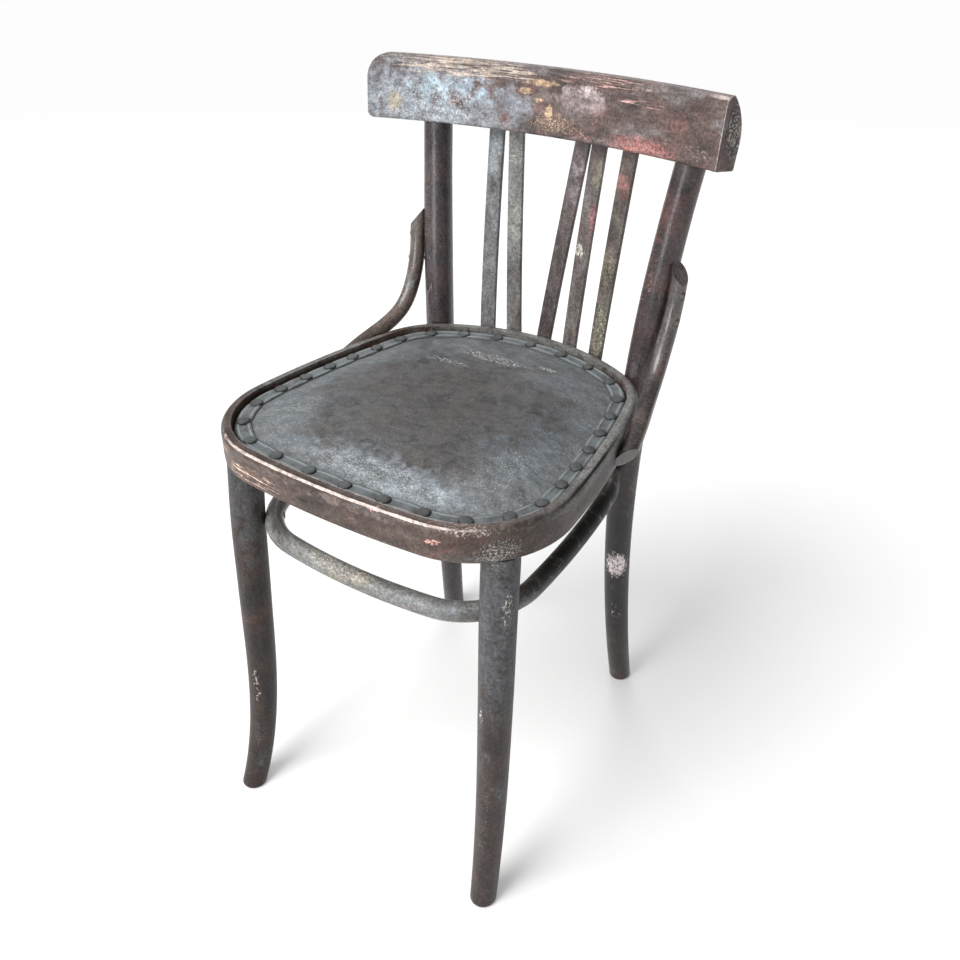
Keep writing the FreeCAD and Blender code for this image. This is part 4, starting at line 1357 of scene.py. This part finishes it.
    def add_head(self, draw: random.Random, top: Vector, places: list[Vector], relief: list[float]) -> None:
        """Add the vertices of one nail head.

        Args:
            draw: The random draws.
            top: Where the head stands.
            places: The vertices, which grow by one ring for each point of the profile and two middles.
            relief: How worn each vertex is; the finish paints the low rim dark as shade and the top paler as
                sheen.
        """
        tilt = Matrix.Rotation(math.radians(draw.uniform(-self.head_tilt, self.head_tilt)), 3, "X")
        tilt = tilt @ Matrix.Rotation(math.radians(draw.uniform(-self.head_tilt, self.head_tilt)), 3, "Y")
        tilt = tilt @ Matrix.Rotation(draw.uniform(0, math.tau), 3, "Z")
        long = self.head_radius * draw.uniform(*self.head_long)
        short = self.head_radius * draw.uniform(*self.head_short)
        seed = Vector((draw.uniform(0, self.NOISE_SPAN), 0, 0))
        rate, depth = self.head_dents
        for out, up in self.HEAD_PROFILE:
            for side in range(self.head_sides):
                angle = math.tau * side / self.head_sides
                local = Vector((math.cos(angle) * long * out, math.sin(angle) * short * out,
                                up * self.head_height))
                local += local.normalized() * noise.noise(local * rate + seed) * depth
                places.append(top + tilt @ local)
                relief.append(max(0.0, min(1.0, up * self.head_wear_and_sheen)))
        places.append(top + tilt @ Vector((0, 0, self.head_height)))
        relief.append(self.head_wear_and_sheen)
        places.append(top + tilt @ Vector((0, 0, self.UNDER_HEAD * self.head_height)))
        relief.append(0.0)


def loose_parts(node: bpy.types.Object, flat: Matrix) -> list[Vector]:
    """The middle of each separate solid in a node, on the flat seat.

    Args:
        node: The CAD node.
        flat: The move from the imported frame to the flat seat.

    Returns:
        One point for each solid.
    """
    shape = bmesh.new()
    shape.from_mesh(node.data)
    bmesh.ops.remove_doubles(shape, verts=shape.verts, dist=1e-6)
    left = set(shape.verts)
    middles = []
    while left:
        seed = left.pop()
        group = [seed]
        queue = [seed]
        while queue:
            for edge in queue.pop().link_edges:
                for vertex in edge.verts:
                    if vertex in left:
                        left.discard(vertex)
                        group.append(vertex)
                        queue.append(vertex)
        places = [flat @ vertex.co for vertex in group]
        middles.append(sum(places, Vector()) / len(places))
    shape.free()
    return middles


class Seat:
    """The drop-in seat: leather, braid and nails, in place of their plain solids."""

    def __init__(self, frame: ChairFrame, nodes: dict[str, bpy.types.Object]) -> None:
        """Keep what the seat is built from.

        Args:
            frame: The chair's frame.
            nodes: The CAD nodes.
        """
        self.frame = frame
        self.nodes = nodes

    def build(self) -> None:
        """Model and dress the seat's pieces."""
        flat = self.frame.seat_matrix().inverted()
        cover = SeatOutline(self.nodes["seat_cover"], flat)
        strip = SeatOutline(self.nodes["seat_braid"], flat)
        heads = loose_parts(self.nodes["braid_nails"], flat)
        heads.sort(key=lambda spot: math.atan2(spot.y - cover.middle.y, spot.x - cover.middle.x))
        leather = Cushion(self.frame).build(cover, cover.bottom, self.shares(cover, heads))
        leather.data.materials.append(LeatherFinish().make(self.frame))
        self.keep(leather, "leather", "seat_cover", "seat_padding")

        braid = Braid(self.frame)
        shares = self.shares(strip, heads)
        band = braid.build_strip(strip, strip.bottom, shares)
        band.data.materials.append(BraidFinish("embossed braid").make())
        self.keep(band, "braid", "seat_braid")
        nails = braid.build_nails(heads, strip.bottom + braid.body * braid.head_sinks)
        # Nail heads: dark under the rim as painted shade, paler on top as rub wear and painted sheen.
        finish = BraidFinish("covered nail heads", low=(0.016, 0.018, 0.018), high=(0.19, 0.20, 0.20),
                             body=(0.085, 0.094, 0.094))
        nails.data.materials.append(finish.make())
        self.keep(nails, "nail_heads", "braid_nails")

    @staticmethod
    def shares(outline: SeatOutline, spots: list[Vector]) -> list[float]:
        """How far round an outline the point nearest to each spot lies.

        Args:
            outline: The outline.
            spots: The spots, on the flat seat.

        Returns:
            A share for each spot.
        """
        found = []
        for spot in spots:
            gaps = [(point - spot.to_2d()).length_squared for point in outline.points]
            found.append(outline.share_at(gaps.index(min(gaps))))
        return found

    @staticmethod
    def keep(piece: bpy.types.Object, slot: str, *nodes: str) -> None:
        """Let a piece stand for CAD nodes and move with the chair.

        Args:
            piece: The piece.
            slot: Its slot; not used.
            nodes: The nodes that it stands for.
        """
        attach(piece, "root")
        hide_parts(*nodes)
        LOG.info("%s stands for %s", piece.name, ", ".join(nodes))


class Woodwork:
    """The bent beech pieces, each with its own wear."""

    # Grey bloom; on the first slat it is partly a painted sheen too.
    GREY = (0.175, 0.182, 0.186)

    def __init__(self, frame: ChairFrame, nodes: dict[str, bpy.types.Object]) -> None:
        """Keep what is dressed.

        Args:
            frame: The chair's frame.
            nodes: The CAD nodes.
        """
        self.frame = frame
        self.nodes = nodes

    def finishes(self) -> dict[str, WoodFinish]:
        """The finish of each wooden node."""
        return {"crest_rail": self.crest(), "seat_ring": self.ring(), "leg_ring": self.hoop(),
                **self.front_legs(), **self.posts(), **self.braces(), **self.slats()}

    @staticmethod
    def front_legs() -> dict[str, WoodFinish]:
        """The front legs: near black, dusty under the seat and chipped lower down.

        Returns:
            The finishes, by node.
        """
        left_marks = (
            Mark(Wear.CLOUD, (-0.146, -0.150, 0.370), (0.05, 0.05, 0.11), (0.062, 0.062, 0.062), 0.8),
            Mark(Wear.FLAKE, (-0.147, -0.168, 0.135), (0.008, 0.02, 0.045), (0.50, 0.42, 0.38), 0.36),
        )
        right_marks = (
            Mark(Wear.CLOUD, (0.162, -0.148, 0.345), (0.05, 0.05, 0.15), (0.086, 0.089, 0.096), 0.9),
            Mark(Wear.GRIT, (0.160, -0.150, 0.424), (0.03, 0.03, 0.03), (0.36, 0.36, 0.34), 0.38),
            Mark(Wear.FLAKE, (0.167, -0.144, 0.374), (0.005, 0.02, 0.040), (0.60, 0.56, 0.52), 0.44),
            Mark(Wear.FLAKE, (0.147, -0.160, 0.245), (0.006, 0.02, 0.018), (0.60, 0.55, 0.52), 0.44),
            Mark(Wear.GRIT, (0.155, -0.166, 0.110), (0.012, 0.03, 0.12), (0.42, 0.36, 0.33), 0.30),
        )
        return {
            "front_leg_left": WoodFinish(
                "left front leg wood", Grain.UPRIGHT, (0.012, 0.009, 0.008), (0.034, 0.021, 0.017),
                haze=(0.055, 0.055, 0.055), haze_share=0.35, red_share=0.5, red=(0.070, 0.030, 0.024),
                marks=left_marks),
            "front_leg_right": WoodFinish(
                "right front leg wood", Grain.UPRIGHT, (0.017, 0.013, 0.012), (0.046, 0.032, 0.028),
                haze=(0.080, 0.080, 0.083), haze_share=0.40, red_share=0.3, red=(0.085, 0.045, 0.038),
                marks=right_marks),
        }

    @staticmethod
    def posts() -> dict[str, WoodFinish]:
        """The back posts: glossy and reddish above the seat, and near black below it, where shade from the
        seat is painted in.

        Returns:
            The finishes, by node.
        """
        left_marks = (
            Mark(Wear.GRIT, (-0.148, 0.180, 0.580), (0.018, 0.03, 0.09), (0.26, 0.17, 0.14), 0.40),
            Mark(Wear.SCRATCH, (-0.140, 0.165, 0.500), (0.010, 0.03, 0.09), (0.46, 0.42, 0.40), 0.34),
            # Painted shade under the seat: the post is near black below it.
            Mark(Wear.CLOUD, (-0.120, 0.175, 0.200), (0.08, 0.09, 0.25), (0.008, 0.006, 0.005), 1.0),
        )
        right_marks = (
            Mark(Wear.CLOUD, (0.137, 0.193, 0.620), (0.018, 0.03, 0.10), (0.130, 0.058, 0.048), 0.60),
            Mark(Wear.GRIT, (0.135, 0.180, 0.560), (0.020, 0.03, 0.12), (0.40, 0.22, 0.19), 0.38),
            # Painted shade under the seat: the post is near black below it.
            Mark(Wear.CLOUD, (0.128, 0.175, 0.200), (0.08, 0.09, 0.26), (0.004, 0.003, 0.003), 1.0, 0.9),
            Mark(Wear.FLAKE, (0.134, 0.154, 0.203), (0.026, 0.02, 0.030), (0.80, 0.70, 0.71), 0.60),
            Mark(Wear.FLAKE, (0.134, 0.156, 0.120), (0.020, 0.02, 0.050), (0.70, 0.62, 0.60), 0.24),
        )
        return {
            "back_post_left": WoodFinish(
                "left post wood", Grain.UPRIGHT, (0.018, 0.014, 0.015), (0.050, 0.037, 0.039),
                haze=(0.11, 0.12, 0.13), haze_share=0.25, red_share=0.5, red=(0.090, 0.048, 0.048),
                gloss=0.24, shine=0.6, marks=left_marks),
            "back_post_right": WoodFinish(
                "right post wood", Grain.UPRIGHT, (0.020, 0.015, 0.016), (0.052, 0.038, 0.039),
                haze=(0.11, 0.10, 0.11), haze_share=0.2, red_share=0.6, red=(0.110, 0.046, 0.042),
                gloss=0.24, shine=0.5, marks=right_marks),
        }

    def braces(self) -> dict[str, WoodFinish]:
        """The side braces: brown, glossy and greyed."""
        return {
            "side_brace_left": WoodFinish(
                "left brace wood", Grain.BRACE, (0.040, 0.030, 0.026), (0.110, 0.080, 0.066),
                haze=self.GREY, haze_share=0.4, wear=0.7, gloss=0.20, shine=0.9),
            "side_brace_right": WoodFinish(
                "right brace wood", Grain.BRACE, (0.034, 0.028, 0.027), (0.088, 0.070, 0.064),
                haze=self.GREY, haze_share=0.4, wear=0.7, gloss=0.19, shine=0.9),
        }

    def slats(self) -> dict[str, WoodFinish]:
        """The back slats, from the sitter's right to the left."""
        return {
            # The slats' greys are partly grey bloom and partly a painted sheen.
            "slat_1": self.slat(1, self.GREY, 0.9, (
                Mark(Wear.CLOUD, (-0.082, 0.214, 0.655), (0.02, 0.02, 0.05), (0.27, 0.30, 0.32), 0.8),
            )),
            "slat_2": self.slat(2, (0.200, 0.205, 0.196), 0.95, (
                Mark(Wear.GRIT, (-0.050, 0.214, 0.655), (0.02, 0.02, 0.02), (0.52, 0.50, 0.44), 0.45),
                Mark(Wear.CLOUD, (-0.046, 0.205, 0.590), (0.02, 0.02, 0.05), (0.27, 0.27, 0.25), 0.8),
            )),
            "slat_3": self.slat(3, (0.165, 0.145, 0.150), 0.55, (
                Mark(Wear.CLOUD, (0.029, 0.217, 0.640), (0.02, 0.02, 0.05), (0.24, 0.20, 0.21), 0.8),
                Mark(Wear.CLOUD, (0.000, 0.200, 0.480), (0.03, 0.03, 0.05), (0.060, 0.044, 0.044), 0.8),
            )),
            "slat_4": self.slat(4, (0.160, 0.150, 0.140), 0.7, (
                Mark(Wear.CLOUD, (0.055, 0.216, 0.650), (0.02, 0.02, 0.03), (0.24, 0.22, 0.17), 0.8),
                Mark(Wear.GRIT, (0.050, 0.212, 0.605), (0.010, 0.02, 0.030), (0.36, 0.16, 0.17), 0.62),
                Mark(Wear.FLAKE, (0.036, 0.208, 0.566), (0.012, 0.02, 0.014), (0.72, 0.70, 0.60), 0.52),
            )),
            "slat_5": self.slat(5, (0.150, 0.140, 0.110), 0.6, (
                Mark(Wear.CLOUD, (0.083, 0.213, 0.655), (0.02, 0.02, 0.036), (0.26, 0.130, 0.115), 0.60),
                Mark(Wear.GRIT, (0.077, 0.204, 0.550), (0.02, 0.02, 0.060), (0.34, 0.30, 0.18), 0.48),
                Mark(Wear.GRIT, (0.073, 0.194, 0.480), (0.02, 0.02, 0.070), (0.40, 0.40, 0.27), 0.50),
            )),
        }

    @staticmethod
    def slat(number: int, haze: Colour, share: float, marks: tuple[Mark, ...]) -> WoodFinish:
        """The finish of one back slat, greyed all over, partly grey bloom and partly a painted sheen, and
        pale along its arrises.

        Args:
            number: Which slat, counted from the sitter's right.
            haze: The grey, paler than the bloom alone by a painted sheen.
            share: How much of it there is.
            marks: Its own marks.

        Returns:
            The finish.
        """
        arris = Mark(Wear.ARRIS, (0.0, 0.200, 0.560), (0.30, 0.30, 0.30), (0.40, 0.37, 0.34), 0.50, 0.7)
        return WoodFinish(f"slat {number} wood", Grain.UPRIGHT, (0.060, 0.048, 0.046), (0.125, 0.100, 0.096),
                          haze=haze, haze_share=share, speckle=0.35, gloss=0.42, marks=(*marks, arris))

    @staticmethod
    def crest() -> WoodFinish:
        """The crest rail: bloomed blue-grey at its left with a painted sheen over it, a painted sheen and a
        painted highlight in the middle, cracked in the middle, red and brown at its end.

        Returns:
            The finish.
        """
        tan = (0.60, 0.50, 0.42)
        orange = (0.62, 0.43, 0.27)
        marks = (
            # Left half: grey-blue bloom with pale specks, partly the varnish's own bloom and partly a
            # painted sheen.
            Mark(Wear.CLOUD, (-0.155, 0.190, 0.705), (0.185, 0.09, 0.070), (0.31, 0.335, 0.37), 0.88),
            Mark(Wear.CLOUD, (-0.125, 0.200, 0.720), (0.110, 0.06, 0.030), (0.44, 0.56, 0.66), 0.62),
            Mark(Wear.GRIT, (-0.150, 0.190, 0.703), (0.140, 0.06, 0.060), (0.66, 0.71, 0.76), 0.42),
            Mark(Wear.CLOUD, (-0.193, 0.185, 0.702), (0.014, 0.03, 0.019), (0.46, 0.39, 0.28), 0.80, 0.75),
            # Middle patches, painted paler than their own colour by a painted sheen.
            Mark(Wear.CLOUD, (-0.055, 0.212, 0.711), (0.034, 0.03, 0.022), (0.26, 0.27, 0.30), 0.9),
            Mark(Wear.CLOUD, (-0.020, 0.215, 0.724), (0.022, 0.03, 0.012), (0.200, 0.165, 0.160), 0.8),
            Mark(Wear.CLOUD, (0.030, 0.216, 0.725), (0.050, 0.03, 0.020), (0.32, 0.25, 0.25), 0.9),
            Mark(Wear.SCRATCH, (-0.110, 0.205, 0.744), (0.165, 0.06, 0.019), tan, 0.56),
            Mark(Wear.SCRATCH, (0.060, 0.215, 0.745), (0.110, 0.05, 0.014), (0.66, 0.42, 0.37), 0.42),
            Mark(Wear.CLOUD, (-0.022, 0.216, 0.7365), (0.042, 0.02, 0.0065), orange, 0.60),
            Mark(Wear.FLAKE, (-0.040, 0.215, 0.727), (0.014, 0.02, 0.006), orange, 0.60),
            Mark(Wear.FLAKE, (-0.022, 0.214, 0.720), (0.010, 0.02, 0.007), orange, 0.56),
            Mark(Wear.FLAKE, (-0.010, 0.213, 0.709), (0.008, 0.02, 0.014), orange, 0.60),
            Mark(Wear.GRIT, (-0.125, 0.197, 0.706), (0.012, 0.02, 0.008), (0.62, 0.38, 0.26), 0.50),
            Mark(Wear.GRIT, (0.000, 0.212, 0.698), (0.065, 0.03, 0.020), (0.50, 0.36, 0.25), 0.50),
            # Painted highlight on the roll of the top: a pale pink patch with white glints.
            Mark(Wear.CLOUD, (0.034, 0.217, 0.733), (0.060, 0.03, 0.014), (0.50, 0.42, 0.42), 0.66),
            Mark(Wear.GRIT, (0.034, 0.217, 0.733), (0.050, 0.03, 0.012), (0.88, 0.82, 0.80), 0.38),
            Mark(Wear.SCRATCH, (0.100, 0.209, 0.731), (0.060, 0.03, 0.012), (0.68, 0.42, 0.38), 0.38),
            Mark(Wear.GRIT, (0.045, 0.212, 0.708), (0.013, 0.03, 0.020), (0.52, 0.27, 0.23), 0.40),
            Mark(Wear.GRIT, (0.105, 0.205, 0.690), (0.075, 0.03, 0.019), (0.50, 0.21, 0.19), 0.62),
            Mark(Wear.GRIT, (0.030, 0.210, 0.689), (0.030, 0.03, 0.010), (0.50, 0.29, 0.27), 0.50),
            Mark(Wear.FLAKE, (0.170, 0.197, 0.695), (0.034, 0.03, 0.018), (0.36, 0.31, 0.28), 0.34),
            Mark(Wear.CLOUD, (0.199, 0.205, 0.718), (0.008, 0.03, 0.045), (0.045, 0.038, 0.036), 1.0),
            Mark(Wear.FLAKE, (0.200, 0.205, 0.718), (0.010, 0.03, 0.050), (0.42, 0.37, 0.35), 0.46),
            Mark(Wear.ARRIS, (0.190, 0.200, 0.715), (0.030, 0.04, 0.060), (0.66, 0.58, 0.52), 0.85),
            Mark(Wear.ARRIS, (-0.200, 0.180, 0.700), (0.060, 0.08, 0.070), (0.66, 0.60, 0.54), 0.70),
        )
        return WoodFinish(
            "crest rail wood", Grain.CREST, (0.058, 0.041, 0.038), (0.126, 0.084, 0.076),
            haze=(0.21, 0.19, 0.19), haze_share=0.45, red=(0.22, 0.12, 0.105), speckle=0.35, wear=0.8,
            marks=marks)

    @staticmethod
    def ring() -> WoodFinish:
        """The seat ring: worn through along its front arris and corners, greyed at the sitter's left.

        Returns:
            The finish.
        """
        pale = (0.66, 0.55, 0.50)
        marks = (
            Mark(Wear.CLOUD, (0.165, 0.040, 0.456), (0.060, 0.190, 0.016), (0.200, 0.204, 0.200), 1.0),
            Mark(Wear.CLOUD, (0.186, 0.000, 0.440), (0.030, 0.150, 0.014), (0.075, 0.070, 0.068), 0.9),
            Mark(Wear.CLOUD, (0.000, 0.150, 0.456), (0.200, 0.090, 0.040), (0.190, 0.190, 0.182), 1.0),
            Mark(Wear.CLOUD, (-0.172, 0.010, 0.459), (0.040, 0.160, 0.008), (0.170, 0.166, 0.158), 0.9),
            Mark(Wear.CLOUD, (-0.160, -0.130, 0.440), (0.05, 0.05, 0.024), (0.040, 0.027, 0.022), 0.75, 0.9),
            Mark(Wear.GRIT, (-0.160, -0.040, 0.459), (0.040, 0.140, 0.010), (0.36, 0.34, 0.31), 0.40),
            Mark(Wear.SCRATCH, (-0.095, -0.176, 0.436), (0.080, 0.03, 0.019), (0.68, 0.48, 0.38), 0.46),
            Mark(Wear.SCRATCH, (-0.135, -0.160, 0.448), (0.038, 0.03, 0.019), (0.56, 0.38, 0.29), 0.44),
            Mark(Wear.CLOUD, (0.000, -0.181, 0.452), (0.170, 0.02, 0.008), (0.180, 0.140, 0.124), 0.6),
            Mark(Wear.ARRIS, (0.000, -0.172, 0.459), (0.220, 0.05, 0.012), pale, 0.66, 1.0),
            Mark(Wear.FLAKE, (0.112, -0.174, 0.4445), (0.016, 0.02, 0.005), (0.80, 0.44, 0.38), 0.50),
            Mark(Wear.FLAKE, (0.055, -0.178, 0.458), (0.010, 0.02, 0.004), (0.80, 0.44, 0.44), 0.52),
            Mark(Wear.GRIT, (0.140, -0.160, 0.457), (0.050, 0.03, 0.008), (0.62, 0.56, 0.52), 0.46),
            Mark(Wear.GRIT, (0.162, -0.146, 0.437), (0.040, 0.04, 0.022), (0.52, 0.52, 0.48), 0.44),
            Mark(Wear.FLAKE, (-0.025, -0.181, 0.4395), (0.010, 0.01, 0.003), (0.020, 0.016, 0.014), 0.90),
            Mark(Wear.ARRIS, (0.186, -0.02, 0.456), (0.020, 0.120, 0.010), (0.018, 0.018, 0.018), 0.85, 1.0),
        )
        return WoodFinish(
            "seat ring wood", Grain.SEAT, (0.036, 0.024, 0.020), (0.084, 0.056, 0.046),
            haze=(0.150, 0.146, 0.142), haze_share=0.40, red=(0.120, 0.062, 0.050), speckle=0.35, wear=0.9,
            marks=marks)

    @staticmethod
    def hoop() -> WoodFinish:
        """The leg ring: grey with a cream rub in front and a painted highlight at its front right, and near
        black at the sitter's left and dark at the back, where shade from the seat is painted in.

        Returns:
            The finish.
        """
        marks = (
            Mark(Wear.CLOUD, (-0.015, -0.158, 0.348), (0.100, 0.03, 0.020), (0.27, 0.245, 0.20), 0.60),
            Mark(Wear.GRIT, (-0.010, -0.158, 0.352), (0.100, 0.03, 0.012), (0.62, 0.57, 0.49), 0.46),
            # Painted highlight: a pale blue patch at the front right.
            Mark(Wear.CLOUD, (0.105, -0.150, 0.350), (0.040, 0.03, 0.012), (0.28, 0.32, 0.36), 0.55),
            # Painted shade under the seat: near black at the sitter's left, dark at the back.
            Mark(Wear.CLOUD, (0.150, 0.020, 0.345), (0.070, 0.170, 0.050), (0.004, 0.003, 0.003), 1.0, 1.0),
            Mark(Wear.CLOUD, (0.000, 0.140, 0.345), (0.200, 0.060, 0.040), (0.030, 0.022, 0.020), 1.0),
        )
        return WoodFinish(
            "leg ring wood", Grain.HOOP, (0.070, 0.066, 0.062), (0.140, 0.134, 0.122),
            haze=(0.190, 0.196, 0.196), haze_share=0.8, wear=0.5, speckle=0.4, gloss=0.26, shine=0.5,
            marks=marks)

    def dress(self) -> None:
        """Give each wooden node its finish."""
        for node, finish in self.finishes().items():
            self.nodes[node].material_slots[0].material = finish.make(self.frame)
            LOG.info("%s is dressed", node)


class Fixings:
    """The screws, bolts, washers and nuts, and the plywood panel."""

    STEEL = ("brace_post_screws", "brace_seat_screws", "back_post_bolts", "back_post_washers",
             "back_post_nuts", "leg_ring_screws", "slat_screws", "seat_screws")

    def dress(self, nodes: dict[str, bpy.types.Object]) -> None:
        """Give the small parts and the panel their finishes.

        Args:
            nodes: The CAD nodes.
        """
        steel = SteelFinish().make()
        for node in self.STEEL:
            nodes[node].material_slots[0].material = steel
        nodes["seat_panel"].material_slots[0].material = PlyFinish().make()
        LOG.info("fixings are dressed")


@dataclass(frozen=True)
class Lamp:
    """A soft rectangular lamp, at a place that is given from the chair's own origin."""

    name: str
    at: Place
    target: Place
    width: float
    height: float
    power: float


@dataclass
class Studio:
    """A white floor, soft lamps and the camera."""

    frame: ChairFrame
    camera_at: Place = (0.5045, -0.6716, 0.9330)
    camera_right: Place = (0.8590, 0.5117, 0.0190)
    camera_ahead: Place = (-0.4384, 0.7542, -0.4889)
    clip_start: float = 0.01
    picture_size: float = 960.0
    picture_focus: float = 948.7
    picture_middle: tuple[float, float] = (542.2, 400.6)
    sensor: float = 36.0
    floor_reach: float = 14.0
    floor_white: float = 0.80
    floor_glow: float = 0.17
    sun_from: Place = (-0.295, -0.594, 0.746)
    sun_width: float = 0.70
    sun_strength: float = 2.4
    bright_side: Place = (-0.55, -0.60, 0.58)
    sky_turn: tuple[float, float] = (-0.7, 0.9)
    sky_range: tuple[float, float] = (0.12, 0.60)
    lamps: tuple[Lamp, ...] = (
        Lamp("skylight", (-1.0, 1.6, 2.0), (0.0, 0.0, 0.5), 1.0, 1.0, 14.0),
        Lamp("front_panel", (-0.15, -1.00, 0.70), (-0.15, 0.0, 0.70), 0.42, 0.45, 4.6),
    )

    def build(self) -> None:
        """Set up everything round the chair."""
        self.add_camera()
        self.add_floor()
        self.add_world()
        self.add_sun()
        for lamp in self.lamps:
            self.add_lamp(lamp)
        bpy.context.scene.view_settings.view_transform = "Standard"

    def add_camera(self) -> None:
        """Place the camera as the fit of the chair's outlines gave it."""
        lens = bpy.data.cameras.new("camera")
        lens.sensor_width = self.sensor
        lens.lens = self.sensor * self.picture_focus / self.picture_size
        half = self.picture_size / 2
        lens.shift_x = (half - self.picture_middle[0]) / self.picture_size
        lens.shift_y = (self.picture_middle[1] - half) / self.picture_size
        lens.clip_start = self.clip_start
        ahead = Vector(self.camera_ahead).normalized()
        right = Vector(self.camera_right)
        right = (right - ahead * right.dot(ahead)).normalized()
        above = right.cross(ahead)
        turn = Matrix((right, above, -ahead)).transposed().to_4x4()
        camera = bpy.data.objects.new("camera", lens)
        camera.matrix_world = Matrix.Translation(self.frame.origin + Vector(self.camera_at)) @ turn
        bpy.context.scene.collection.objects.link(camera)
        bpy.context.scene.camera = camera

    def add_floor(self) -> None:
        """Lay a white floor that keeps the chair's shadow."""
        mesh = bpy.data.meshes.new("floor")
        reach = self.floor_reach
        corners = [(-reach, -reach, 0), (reach, -reach, 0), (reach, reach, 0), (-reach, reach, 0)]
        mesh.from_pydata(corners, [], [(0, 1, 2, 3)])
        floor = bpy.data.objects.new("floor", mesh)
        bpy.context.scene.collection.objects.link(floor)
        sheet = Sheet("white floor")
        path = sheet.node("ShaderNodeLightPath").outputs
        seen = sheet.calc("MAXIMUM", path["Is Camera Ray"],
                          sheet.calc("MAXIMUM", path["Is Glossy Ray"], path["Is Transmission Ray"]))
        plain = sheet.node("ShaderNodeBsdfDiffuse")
        plain.inputs["Color"].default_value = (self.floor_white, self.floor_white, self.floor_white, 1)
        glow = sheet.node("ShaderNodeEmission")
        sheet.feed(glow.inputs["Strength"], sheet.calc("MULTIPLY", seen, self.floor_glow))
        both = sheet.node("ShaderNodeAddShader")
        sheet.tree.links.new(plain.outputs[0], both.inputs[0])
        sheet.tree.links.new(glow.outputs[0], both.inputs[1])
        output = sheet.node("ShaderNodeOutputMaterial")
        sheet.tree.links.new(both.outputs[0], output.inputs["Surface"])
        mesh.materials.append(sheet.material)

    def add_world(self) -> None:
        """A white sky, dimmer as a lamp than as a background."""
        world = bpy.data.worlds.new("sky")
        world.use_nodes = True
        tree = world.node_tree
        tree.nodes.clear()
        path = tree.nodes.new("ShaderNodeLightPath")
        seen = tree.nodes.new("ShaderNodeMath")
        seen.operation = "MAXIMUM"
        tree.links.new(path.outputs["Is Camera Ray"], seen.inputs[0])
        tree.links.new(path.outputs["Is Transmission Ray"], seen.inputs[1])
        strength = tree.nodes.new("ShaderNodeMapRange")
        tree.links.new(seen.outputs[0], strength.inputs["Value"])
        strength.inputs["To Max"].default_value = 1.0
        side = tree.nodes.new("ShaderNodeVectorMath")
        side.operation = "DOT_PRODUCT"
        tree.links.new(tree.nodes.new("ShaderNodeTexCoord").outputs["Generated"], side.inputs[0])
        side.inputs[1].default_value = self.bright_side
        fade = tree.nodes.new("ShaderNodeMapRange")
        tree.links.new(side.outputs["Value"], fade.inputs["Value"])
        for socket, value in zip(fade.inputs[1:], (*self.sky_turn, *self.sky_range)):
            socket.default_value = value
        tree.links.new(fade.outputs[0], strength.inputs["To Min"])
        background = tree.nodes.new("ShaderNodeBackground")
        background.inputs["Color"].default_value = (1, 1, 1, 1)
        tree.links.new(strength.outputs[0], background.inputs["Strength"])
        output = tree.nodes.new("ShaderNodeOutputWorld")
        tree.links.new(background.outputs[0], output.inputs["Surface"])
        bpy.context.scene.world = world

    def add_sun(self) -> None:
        """Add the wide soft light that gives the floor its white and the chair its shadow."""
        lamp = bpy.data.lights.new("key", "SUN")
        lamp.angle = self.sun_width
        lamp.energy = self.sun_strength
        piece = bpy.data.objects.new("key", lamp)
        piece.rotation_euler = (-Vector(self.sun_from)).to_track_quat("-Z", "Y").to_euler()
        bpy.context.scene.collection.objects.link(piece)

    def add_lamp(self, lamp: Lamp) -> None:
        """Add one soft lamp, unseen by the camera.

        Args:
            lamp: What it is.
        """
        light = bpy.data.lights.new(lamp.name, "AREA")
        light.shape = "RECTANGLE"
        light.size = lamp.width
        light.size_y = lamp.height
        light.energy = lamp.power
        piece = bpy.data.objects.new(lamp.name, light)
        piece.location = self.frame.origin + Vector(lamp.at)
        piece.rotation_euler = (Vector(lamp.target) - Vector(lamp.at)).to_track_quat("-Z", "Y").to_euler()
        piece.visible_camera = False
        bpy.context.scene.collection.objects.link(piece)


def main() -> None:
    """Build the chair's looks in order."""
    logging.basicConfig(level=logging.INFO, format="%(name)s: %(message)s")
    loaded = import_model()
    frame = ChairFrame.from_ring()
    nodes = loaded["nodes"]
    Studio(frame).build()
    Woodwork(frame, nodes).dress()
    Fixings().dress(nodes)
    Seat(frame, nodes).build()


if __name__ == "__main__":
    main()
